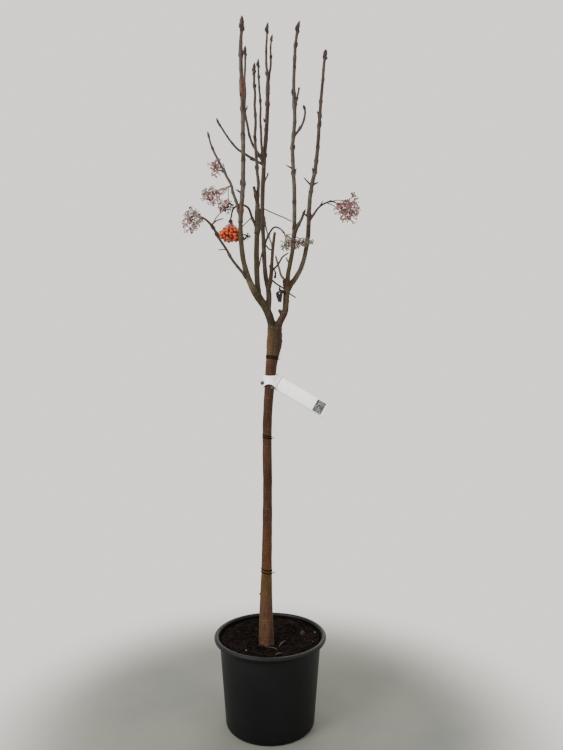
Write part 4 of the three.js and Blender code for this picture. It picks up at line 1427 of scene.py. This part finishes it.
def filled(head, spots):
    """The bunches' places with further ones between them, in a cluster that hangs wide and low."""
    spots = list(spots)
    wanted = len(spots) + FILL["count"]
    for _ in range(FILL["tries"]):
        offset = shaken(fine_draw)
        narrow = FILL["wide"] - FILL["narrowing"] * max(0, offset.z)
        if offset.length > 1 or len(spots) >= wanted:
            continue
        offset = Vector((offset.x * narrow, offset.y * narrow, offset.z)) * FILL["stretch"]
        spot = head_place(head, offset, 1)
        if all((spot - other).length > FILL["apart"] for other in spots):
            spots.append(spot)
    return spots


def knot(hub):
    """The gnarled knot above a ripe cluster, with its dried bracts."""
    for turn, drop, length, width in BRACTS:
        lean = towards(turn, BRACT_FINE["lean"]).normalized()
        shape = bud_shape(Vector((-lean.x, -lean.y, 0)), BRACT_FINE["blunt"])
        facets = BRACT_FINE["rings"], BRACT_FINE["sides"]
        egg(knobs, hub + Z * (4 - drop * 0.3), lean, length, width, "calyx", shape, *facets)


def fruit_head(head, hub, draw, is_clear):
    """A spent head of stalks and knobs, or a ripe one of berries, round the end of its shoot."""
    is_ripe = head["ripe"]
    knob(knobs, hub, STALK["knot"], "knob_dark")
    ripe_spots, feet = [], []
    for ray in range(head["rays"]):
        direction = ball_direction(ray, head["rays"])
        end = head_place(head, direction, STALK["reach"][0])
        fork = end if is_ripe else hub.lerp(end, STALK["fork"])
        if not is_clear(fork):
            continue
        tint = head["tints"][ray % len(head["tints"])]
        samples = stalk(hub, fork, STALK_FINE["ray"], tint, fine_draw)
        if is_ripe:
            ripe_spots += ripe_bunch(head, fork, draw)
        else:
            feet += [(place, tint) for place, _ in samples[2:]]
            feet += spent_fork(head, hub, fork, direction, draw, is_clear, tint)
    if is_ripe:
        knot(hub)
        for spot in filled(head, ripe_spots):
            hung_berry(hub, spot)
    else:
        sprays(head, feet, is_clear)


# Crumpled strands of dried stalks: places, radii, tint and how many knobs stand round each place.
STRANDS = [
    ([(46, -4, 1222), (38, -10, 1224), (32, -12, 1228)], (3.4, 4.2), "black", 0),
    ([(32, -12, 1228), (27, -13, 1232), (27, -13, 1240)], (3.4, 2.2), "black", 0),
    ([(33, -12, 1229), (30, -13, 1213), (27, -14, 1197)], (3.4, 5.4), "black", 0),
    ([(20, -13, 1223), (22, -15, 1211), (27, -14, 1197)], (4.8, 4.2), "black", 0),
    ([(19, -13, 1221), (25, -11, 1226), (31, -12, 1222)], (3, 2.4), "black", 0),
    ([(11, -27, 1287), (15, -28, 1276), (13, -28, 1262)], (1.8, 3.2), "black", 0),
    ([(163, 42, 1498), (184, 39, 1489), (202, 36, 1473), (212, 35, 1462)], (1.6, 1.1), "dark", 0),
    ([(179, 40, 1501), (200, 38, 1504), (222, 36, 1500), (234, 35, 1492)], (1.5, 1.1), "dark", 0),
    ([(236, 36, 1486), (248, 35, 1498), (251, 35, 1509)], (1.2, 0.9), "plum", 9),
    ([(-66, 13, 1390), (-76, 12, 1383), (-86, 10, 1378)], (2, 3.6), "dark", 5),
    ([(-18, 32, 1455), (-12, 15, 1412), (3, -20, 1362), (5, -46, 1340)], (2.2, 1.8), "dark", 0),
    ([(-13, 34, 1369), (-5, 0, 1352), (4, -44, 1338)], (2.3, 2), "dark", 0),
    ([(-24, 34, 1354), (-29, 10, 1322), (-34, -8, 1291)], (2.3, 2), "dark", 0),
]
# Side shoots that the rule doesn't make: places, radii and the end bud's length and width, if it has one.
SPRIGS = [
    ([(-24, 62, 1549), (-16, 58, 1571), (-9, 55, 1584)], (2.9, 2.2), (13, 6.4)),
    ([(-12, 75, 1748), (-19, 73, 1753), (-21, 72, 1757)], (2.4, 2.2), (10, 6)),
    ([(56, -24, 1300), (50, -26, 1311), (46, -27, 1318)], (2.4, 2), (8, 4.4)),
    ([(-38, -10, 1384), (-33, -9, 1412), (-31, -9, 1440), (-31, -9, 1464)], (6.6, 6), None),
]
FINE_SIDES = {"strand": 12, "sprig": 16}


def crumpled(samples):
    """The uneven outline of a dried stalk."""
    def form(ring, outward):
        point, radius = samples[ring]
        return 1 + 0.45 * noise.noise((point + outward * radius) / 3.2)

    return form


def grow_strands():
    """The dried stalks, with knobs where the table asks for them."""
    def is_clear(place):
        return is_clear_place(place, ["withered"])

    for places, radii, tint, count in STRANDS:
        samples = sampled(tapered(places, radii), SHOOT["ring"])
        tube(stalks, samples, FINE_SIDES["strand"], "stalk_" + tint, crumpled(samples))
        for place in places:
            pedicels(Vector(place), Vector(), tint, is_clear, count, 0)


def grow_sprigs():
    """The side shoots of the table above."""
    for places, radii, bud in SPRIGS:
        samples = sampled(tapered(places, radii), SHOOT["ring"])
        tube(shoots, samples, FINE_SIDES["sprig"], shoot_looks("sprig", samples, []))
        if bud:
            (before, _), (tip, _) = samples[-2:]
            heading = (tip - before).normalized()
            grow_bud(tip - heading * 2, (heading + Z).normalized(), -heading, *bud)


def grow_mass(mass, draw):
    """A mass's stem, shoots and fruit heads. Buds and stalks keep clear of all the other limbs."""
    stem = mass.get("stem")
    own = [*mass["shoots"], *([stem["limb"]] if stem else [])]

    def is_clear(place):
        return is_clear_place(place, own)

    if stem:
        samples = stretch(limbs[stem["limb"]], stem["above"] + GAP, math.inf)
        grow_shoot(stem["limb"], samples, draw, is_clear, False, stem.get("ends"), TIP_BUD["leader"])
    for name, shoot in mass["shoots"].items():
        if shoot.get("solid_only"):
            continue
        is_slim = shoot["radii"][0] < SLIM
        size = TIP_BUD["slim"] if is_slim else shoot["radii"][1] / TIP_BUD["shoot_radius"]
        samples = [(point, radius * STOUT.get(name, 1)) for point, radius in limbs[name]]
        grow_shoot(name, samples, draw, is_clear, is_slim, shoot.get("ends"), size)
        if "bits" in shoot:
            for place, _ in limbs[name][-2:]:
                pedicels(place, Vector(), "dark", is_clear, shoot["bits"], 0.4)
    for head in mass.get("heads", ()):
        fruit_head(head, limbs[head["from"]][-1][0], draw, is_clear)


def build_twigs():
    """All the masses, then the strands and side shoots, in six pieces."""
    for i, mass in enumerate(MASSES.values()):
        grow_mass(mass, draws(100 + i))
    grow_strands()
    grow_sprigs()
    for piece in (shoots, buds, stalks, knobs, berries, dry_berries):
        piece.build("twigs", *MASSES)


# ---- Container and compost ----

POT = {
    "lip": 6.5,
    "top": 144,
    "foot": 125,
    "wall": 3,
    "base": (0.5, 60, 110),  # radii of the rings of its flat underside
    "heel": 7,  # radius of the rounded edge round the foot
    "heel_arc": (-88, -8),
    "roll": (-120, 170),
    "steps": {"heel": 8, "wall": 30, "roll": 22},
    "facets": 160,
}
# The ridge and the line under the lip: depth below the shoulder and how far out.
UNDER_LIP = ((6.5, 0), (5.5, 1.1), (3, 1.1), (2, 0), (1, -1.4))
# The compost is dished round the stem: level out to `dish`, it rises to a crest and droops at the wall.
SOIL = {
    "height": 227, "dish": 60, "crest_radius": 122, "droop": 3, "rough": (2.2, 1.5), "clods": (22, 5),
    "rings": 52, "facets": 160,
}
CHIPS = {
    "count": 620,
    "crumbs": 90,
    "length": (4, 15),
    "width": (1.4, 4.5),
    "thickness": (0.5, 1.4),
    "sunk": 0.3,
    "tilt": 0.35,
    "curl": (0, 2.5),
    "crumb": (0.8, 2.4),
    "steps": 6,
    "raised": 1.5,  # how far the bits that stand out do so
    "thick": 1.2,  # and their thickness
}
# Bits that stand out on the compost: place, length, width, turn in degrees, curl, tilt and look.
FEATURES = [
    ((36, -26), 42, 4.5, 54, 7, 0.05, "chip_tan"), ((-6, -85), 40, 5, 65, 4, 0.05, "chip_brown"),
    ((7, -55), 33, 5, -29, 4, 0.05, "chip_tan"), ((25, -118), 22, 4.5, 24, 3, 0, "chip_tan"),
    ((93, 26), 17, 13, 80, 2, 0.7, "chip_pale"), ((87, 106), 30, 4, -45, 3, 0, "chip_brown"),
    ((-22, -48), 20, 4, 100, 3, 0.1, "chip_brown"), ((12, -38), 18, 4, 20, 3, 0.1, "chip_brown"),
    ((60, 90), 24, 4, 15, 3, 0, "chip_brown"), ((-70, 40), 20, 4, 160, 3, 0, "chip_brown"),
]
DOTS = ((129, 26), (120, -42), (-64, -88))  # white grains
pot_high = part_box("pot")[1] / MM
RIM, POT_HEIGHT = pot_high.x, pot_high.z
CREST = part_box("compost")[1].z / MM
SHOULDER = POT_HEIGHT - 2 * POT["lip"]
SOIL_RIM = POT["top"] - POT["wall"] - GAP


def turned(piece, profile, facets, look):
    """A body turned round the pot's axis. The profile goes out, up the outside, over and back in."""
    rows = []
    for radius, height in profile:
        angles = [-TURN * facet / facets for facet in range(facets)]
        rows.append([Vector((radius * math.cos(a), radius * math.sin(a), height)) for a in angles])
    loft(piece, rows, look)


def wall_radius(height):
    """The container's outer radius at a height."""
    return lerp(POT["foot"], POT["top"], height / SHOULDER)


def curve(centre, radius, start, end, steps):
    """An arc of a profile, its angles in degrees."""
    angles = [math.radians(lerp(start, end, i / steps)) for i in range(steps + 1)]
    return [(centre[0] + radius * math.cos(a), centre[1] + radius * math.sin(a)) for a in angles]


def build_pot():
    """The container in one skin, with its inside painted darker as shade."""
    heel, lip, wall, steps = POT["heel"], POT["lip"], POT["wall"], POT["steps"]
    hub, ring, edge = POT["base"]
    plain = [lerp(heel * 1.1, SHOULDER - 8, i / steps["wall"]) for i in range(steps["wall"] + 1)]
    inner = [(wall_radius(height) - wall, height) for height in (SHOULDER - 2, SHOULDER / 2, wall + 4)]
    floor = [(wall_radius(0) - 8, wall), (ring, wall), (hub, wall)]
    profile = [
        (hub, 0), (ring, 0), (edge, 0),
        *curve((wall_radius(0) - heel, heel), heel, *POT["heel_arc"], steps["heel"]),
        *[(wall_radius(height), height) for height in plain],
        *[(wall_radius(SHOULDER - depth) + out, SHOULDER - depth) for depth, out in UNDER_LIP],
        *curve((RIM - lip, POT_HEIGHT - lip), lip, *POT["roll"], steps["roll"]),
        *inner,
        *floor,
    ]
    # Faces inside the rim take the darker look, which is painted shade.
    piece = Piece("pot_shell", ["plastic", "plastic_inside"])
    inside = len(profile) - len(inner) - len(floor) - 1
    turned(piece, profile, POT["facets"], lambda row, _: "plastic_inside" if row >= inside else "plastic")
    piece.build("pot", "pot")


def soil_level(radius):
    """The compost's smooth level at a distance from the pot's axis."""
    if radius > SOIL["crest_radius"]:
        return CREST - SOIL["droop"] * (radius - SOIL["crest_radius"]) / (SOIL_RIM - SOIL["crest_radius"])
    share = max(0, (radius - SOIL["dish"]) / (SOIL["crest_radius"] - SOIL["dish"]))
    return lerp(SOIL["height"], CREST, share * share * (3 - 2 * share))


def soil_place(x, y):
    """A place on the compost, with its clods."""
    coarse, fine = SOIL["rough"]
    large, small = SOIL["clods"]
    lump = noise.fractal(Vector((x / large, y / large, 4)), 0.8, 2, 3)
    crumb = noise.fractal(Vector((x / small, y / small, 9)), 0.7, 2, 3)
    return Vector((x, y, soil_level(math.hypot(x, y)) + coarse * lump + fine * crumb))


def scattered(draw):
    """A place drawn evenly over the compost."""
    radius, angle = (SOIL_RIM - 4) * math.sqrt(draw()), draw() * TURN
    return soil_place(radius * math.cos(angle), radius * math.sin(angle))


def chip(piece, place, turn, tilt, sizes, curl, look):
    """A shard of bark: a thin curled strip with uneven sides."""
    length, width, thick = sizes
    run = towards(turn, tilt).normalized()
    across = run.cross(Z).normalized()
    up = across.cross(run)
    rows = []
    for step in range(CHIPS["steps"] + 1):
        share = step / CHIPS["steps"]
        middle = place + run * length * (share - 0.5) + up * curl * (1 - (2 * share - 1) ** 2)
        half = width / 2 * (1 - 0.7 * abs(2 * share - 1) ** 3) * (1 + 0.2 * math.sin(9 * share + place.x))
        corners = ((1, 1), (1, -1), (-1, -1), (-1, 1))
        rows.append([middle + across * half * a + up * thick / 2 * b for a, b in corners])
    loft(piece, rows, look)


def build_peat():
    """The compost's body, whose top is shaped place by place."""
    wall, rings, facets = POT["wall"] + GAP, SOIL["rings"], SOIL["facets"]
    under = [(0.5, wall), (wall_radius(wall) - wall, wall), (SOIL_RIM, CREST - SOIL["droop"] - 4)]
    top = [(lerp(SOIL_RIM, 1, i / rings), 0) for i in range(rings + 1)]
    peat = Piece("compost_peat", ["peat"])
    turned(peat, [*under, *top], facets, "peat")
    start = len(under) * facets
    peat.places[start:] = [soil_place(place.x, place.y) for place in peat.places[start:]]
    peat.build("compost", "compost")


def build_chips():
    """Shards, crumbs and white grains that lie on the compost."""
    chips = Piece("compost_chips", ["chip_dark", "chip_brown", "chip_tan", "chip_pale", "grit"])
    draw = draws(700)
    for _ in range(CHIPS["count"]):
        spot = scattered(draw)
        sizes = [within(CHIPS[name], draw) for name in ("length", "width", "thickness")]
        look = dealt("chip", draw)
        turn, tilt, curl = draw() * TURN, jitter(draw, CHIPS["tilt"]), within(CHIPS["curl"], draw)
        chip(chips, spot + Z * CHIPS["sunk"], turn, tilt, sizes, curl, look)
    for (x, y), length, width, turn, curl, tilt, look in FEATURES:
        spot, sizes = soil_place(x, y) + Z * CHIPS["raised"], (length, width, CHIPS["thick"])
        chip(chips, spot, math.radians(turn), tilt, sizes, curl, look)
    for _ in range(CHIPS["crumbs"]):
        spot, radius = scattered(draw) + Z * 0.4, within(CHIPS["crumb"], draw)
        knob(chips, spot, radius, dealt("crumb", draw))
    for x, y in DOTS:
        knob(chips, soil_place(x, y) + Z, 1.5, "grit")
    chips.build("compost", "compost")


# ---- Ties and tag ----

# Ties: height, half height of the band, turns, their spacing, slant and the tail's turn in degrees.
TIES = {
    "tie_top": (1038, 1.5, 2.6, 3.5, 1.6, 20),
    "tie_middle": (812, 1.8, 1.9, 6, 1, -15),
    "tie_low": (431, 1.8, 1.9, 8, 1.2, -8),
}
BAND = {"thin": 0.6, "tail": 9, "steps": 40, "tail_steps": 6, "sides": 12}
TAG = {
    "height": 972,
    "wrap": 37,
    "strip": (156, 43),
    "neck": (16, 20),
    "sunk": 3,
    "forward": 0.3,
    "slope": math.radians(29.5),
    "swing": math.radians(-5),
    "thickness": 0.7,
    "curl": 2.6,
    "sag": 5,
    "block": (0.79, 0.975),  # where along the strip the print was
    # where along the strip the grey band of painted shade at the fold lies
    "fold": (0.005, 0.022),
    "rows": 60,
    "steps": 12,  # across the strip
}
WRAP = {
    "facets": 72, "levels": 14, "tall": 0.86, "clear": 0.9, "flare": (1.8, 5.5), "crease": 1.2,
    "swings": (6, 4.5, 1.5),  # of the lower edge, of the upper edge and of its unevenness
}
# The fastening's rolled ends: height, turn in degrees, tilt and how many roll radii it stands out.
ROLLS = ((965, 200, -0.5, 1.5), (951, 303, 0.25, 0.6))
ROLL = {"radius": 5.2, "half": 6, "pitch": 0.8, "narrowing": 0.22, "sides": 20, "ringed": 0.05}


def build_ties():
    """Bands wound round the stem, each with a short loose tail."""
    for name, (height, half, turns, spacing, slant, tail) in TIES.items():
        samples = []
        steps = int(turns * BAND["steps"])
        for step in range(steps + 1):
            share = step / steps
            angle = math.radians(tail) - (1 - share) * turns * TURN
            level = height + spacing * turns * (0.5 - share) - slant * math.cos(angle)
            centre, radius = at_height(fine_trunk, level)
            samples.append((centre + towards(angle) * (radius + BAND["thin"] * 0.6), half))
        end, heading = samples[-1][0], (samples[-1][0] - samples[-2][0]).normalized()
        for step in range(1, BAND["tail_steps"] + 1):
            share = step / BAND["tail_steps"]
            way = X * share + heading * 0.2 * share + Z * (0.7 * share - 0.5 * share**3)
            samples.append((end + way * BAND["tail"], half * (1.3 - share)))

        def flat(ring, outward):
            point = samples[ring][0]
            away = Vector((point.x - fine_trunk[0][0].x, point.y, 0)).normalized()
            return 1 - (1 - BAND["thin"] / half) * abs(outward.dot(away))

        piece = Piece(name + "_band", ["band"])
        tube(piece, samples, BAND["sides"], "band", flat)
        piece.build("ties", name)


def tag_frame():
    """The strip's root and its directions: along it, across it and out of it."""
    centre, radius = at_height(limbs["trunk"], TAG["height"])
    turn = Matrix.Rotation(TAG["swing"], 3, "Z") @ Matrix.Rotation(TAG["slope"], 3, "Y")
    root = Vector((centre.x + radius - TAG["sunk"], -radius * TAG["forward"], TAG["height"]))
    return root, turn @ X, turn @ Z, turn @ Y


def sheet_rows(place, shares, widths, thickness):
    """Rows of a thin plate's outline: place(along, across) gives a place and its outward direction."""
    rows = []
    for share, width in zip(shares, widths):
        front, rear = [], []
        for step in range(TAG["steps"] + 1):
            spot, out = place(share, width * (step / TAG["steps"] - 0.5))
            front.append(spot - out * thickness / 2)
            rear.append(spot + out * thickness / 2)
        rows.append(front + rear[::-1])
    return rows


def build_tag():
    """The strip, from its neck at the stem to its squared end, and the wrap that holds it."""
    root, run, up, out = tag_frame()
    length, width = TAG["strip"]
    neck_length, neck_width = TAG["neck"]
    start = neck_length - TAG["sunk"]

    def place(along, across):
        share = along / (start + length)
        curl = TAG["curl"] * (1 - (2 * across / width) ** 2) * min(1, share * 4)
        sag = TAG["sag"] * share * share
        spot = root + run * along + up * (across - sag * 0.6) - out * (curl + sag * math.sin(share * 3) * 0.5)
        return spot, out

    alongs, widths = [0.0], [neck_width]
    for step in range(1, 5):
        alongs.append(start * step / 4)
        widths.append(neck_width if step < 3 else lerp(neck_width, width, (step - 2) / 2))
    for step in range(1, TAG["rows"] + 1):
        alongs.append(start + length * step / TAG["rows"])
        widths.append(width if step < TAG["rows"] else width - 3)

    def look(row, corner):
        share = (alongs[row + 1] - start) / length
        is_front = corner < TAG["steps"]
        is_edge = corner in (0, TAG["steps"] - 1)
        # The band at the fold is painted shade of the crease.
        if TAG["fold"][0] < share <= TAG["fold"][1]:
            return "tag_fold"
        if is_front and not is_edge and TAG["block"][0] < share <= TAG["block"][1]:
            return "tag_block"
        return "tag_edge" if is_edge and share > 0 else "tag_paper"

    piece = Piece("tag_strip", ["tag_paper", "tag_edge", "tag_fold", "tag_block"])
    loft(piece, sheet_rows(place, alongs, widths, TAG["thickness"]), look)
    build_wrap(piece)
    piece.build("tag", "tag")


def build_wrap(piece):
    """The tag's end wound round the stem, crumpled, with pointed corners."""
    facets, levels = WRAP["facets"], WRAP["levels"]
    even, wide = WRAP["flare"]
    low_swing, high_swing, uneven = WRAP["swings"]
    rows = []
    for side in (1, -1):
        for level in range(levels + 1):
            share = level / levels if side > 0 else 1 - level / levels
            row = []
            for facet in range(facets):
                angle = -TURN * facet / facets
                low = -low_swing * math.cos(2 * angle + 0.2)
                high = high_swing * math.cos(2 * angle) + uneven * math.sin(3 * angle)
                rise = TAG["wrap"] * (share - 0.5) * WRAP["tall"]
                height = TAG["height"] + rise + lerp(low, high, share)
                centre, radius = at_height(fine_trunk, height)
                spread = (2 * share - 1) ** 2 * (even + wide * math.cos(angle) ** 2)
                crease = WRAP["crease"] * math.sin(4 * angle + 7 * share) ** 2
                reach = radius + WRAP["clear"] + spread + crease + (TAG["thickness"] if side > 0 else 0)
                row.append(centre + towards(angle) * reach)
            rows.append(row)
    rows.append(rows[0])
    loft(piece, rows, "tag_paper", is_capped=False)


def build_rolls():
    """The dark rolled ends of the tag's fastening under its wrap."""
    piece = Piece("tag_rolls", ["tag_roll"])
    for height, turn, tilt, out in ROLLS:
        centre, radius = at_height(fine_trunk, height)
        outward = towards(math.radians(turn))
        middle = centre + outward * (radius + ROLL["radius"] * out)
        direction = (outward.cross(Z) + Z * tilt).normalized()
        samples = []
        for step in range(-ROLL["half"], ROLL["half"] + 1):
            narrow = ROLL["narrowing"] * abs(step) / ROLL["half"]
            samples.append((middle + direction * step * ROLL["pitch"], ROLL["radius"] * (1 - narrow)))
        tube(piece, samples, ROLL["sides"], "tag_roll", ringed(ROLL["ringed"]))
    piece.build("ties", "tag")


# ---- Stage, camera and light ----

CAMERA = {
    "place": (0.032, -1.726, 0.968),
    "pitch": math.atan(6.9 / 600),
    "lens": 28.8,
    "sensor": 36,
}
FLOOR = {"radius": 2.5, "facets": 128, "solid": 0.42, "gone": 1.0}
WORLD = {"colour": "f7f3ec", "strength": 1.43}
LIT_PLACE = (0, 0, 0.95)
# Soft lights: name, place, size and power.
LIGHTS = [
    ("key", (-2.4, -2.1, 2.7), 1.8, 140),
    ("fill", (2.4, -2.2, 1.8), 2.6, 12),
    ("rear", (0.6, 2.8, 2.6), 2.4, 40),
]


def build_floor():
    """A pale floor that fades into the background away from the pot."""
    bpy.ops.mesh.primitive_circle_add(vertices=FLOOR["facets"], radius=FLOOR["radius"], fill_type="NGON")
    floor = bpy.context.active_object
    floor.name = "floor"
    look = Look("floor_pale", "8f918c", 0.85, Specular_IOR_Level=0.3)
    look.colour(look.mix(look.ranged(look.noise(3, detail=5), 0.35, 0.7), "75776f", "6a6c67"))
    far = look.node("ShaderNodeVectorMath", {0: look.here}, operation="LENGTH").outputs["Value"]
    reach = {"Value": far, "From Min": FLOOR["solid"], "From Max": FLOOR["gone"]}
    fade = look.node("ShaderNodeMapRange", reach, interpolation_type="SMOOTHERSTEP").outputs["Result"]
    clear = look.node("ShaderNodeBsdfTransparent").outputs["BSDF"]
    blend = look.node("ShaderNodeMixShader", {0: fade, 1: look.shader.outputs["BSDF"], 2: clear})
    look.feed(look.tree.nodes["Material Output"].inputs["Surface"], blend.outputs["Shader"])
    floor.data.materials.append(look.material)


def build_light():
    """A pale surrounding and three soft lights."""
    world = bpy.data.worlds.new("studio")
    world.use_nodes = True
    background = world.node_tree.nodes["Background"]
    background.inputs["Color"].default_value = (*paint(WORLD["colour"]), 1)
    background.inputs["Strength"].default_value = WORLD["strength"]
    bpy.context.scene.world = world
    for name, place, size, energy in LIGHTS:
        data = bpy.data.lights.new(name, "AREA")
        data.shape = "DISK"
        data.size = size
        data.energy = energy
        light = linked(name, data)
        light.location = place
        light.rotation_euler = (Vector(LIT_PLACE) - light.location).to_track_quat("-Z", "Y").to_euler()


def build_camera():
    """The view in which the tree was measured."""
    data = bpy.data.cameras.new("view")
    data.sensor_fit = "VERTICAL"
    data.sensor_height = CAMERA["sensor"]
    data.lens = CAMERA["lens"]
    camera = linked("view", data)
    camera.location = CAMERA["place"]
    camera.rotation_euler = (math.pi / 2 + CAMERA["pitch"], 0, 0)
    bpy.context.scene.camera = camera


build_camera()
build_light()
build_floor()
build_bark()
build_twigs()
build_pot()
build_peat()
build_chips()
build_ties()
build_tag()
build_rolls()
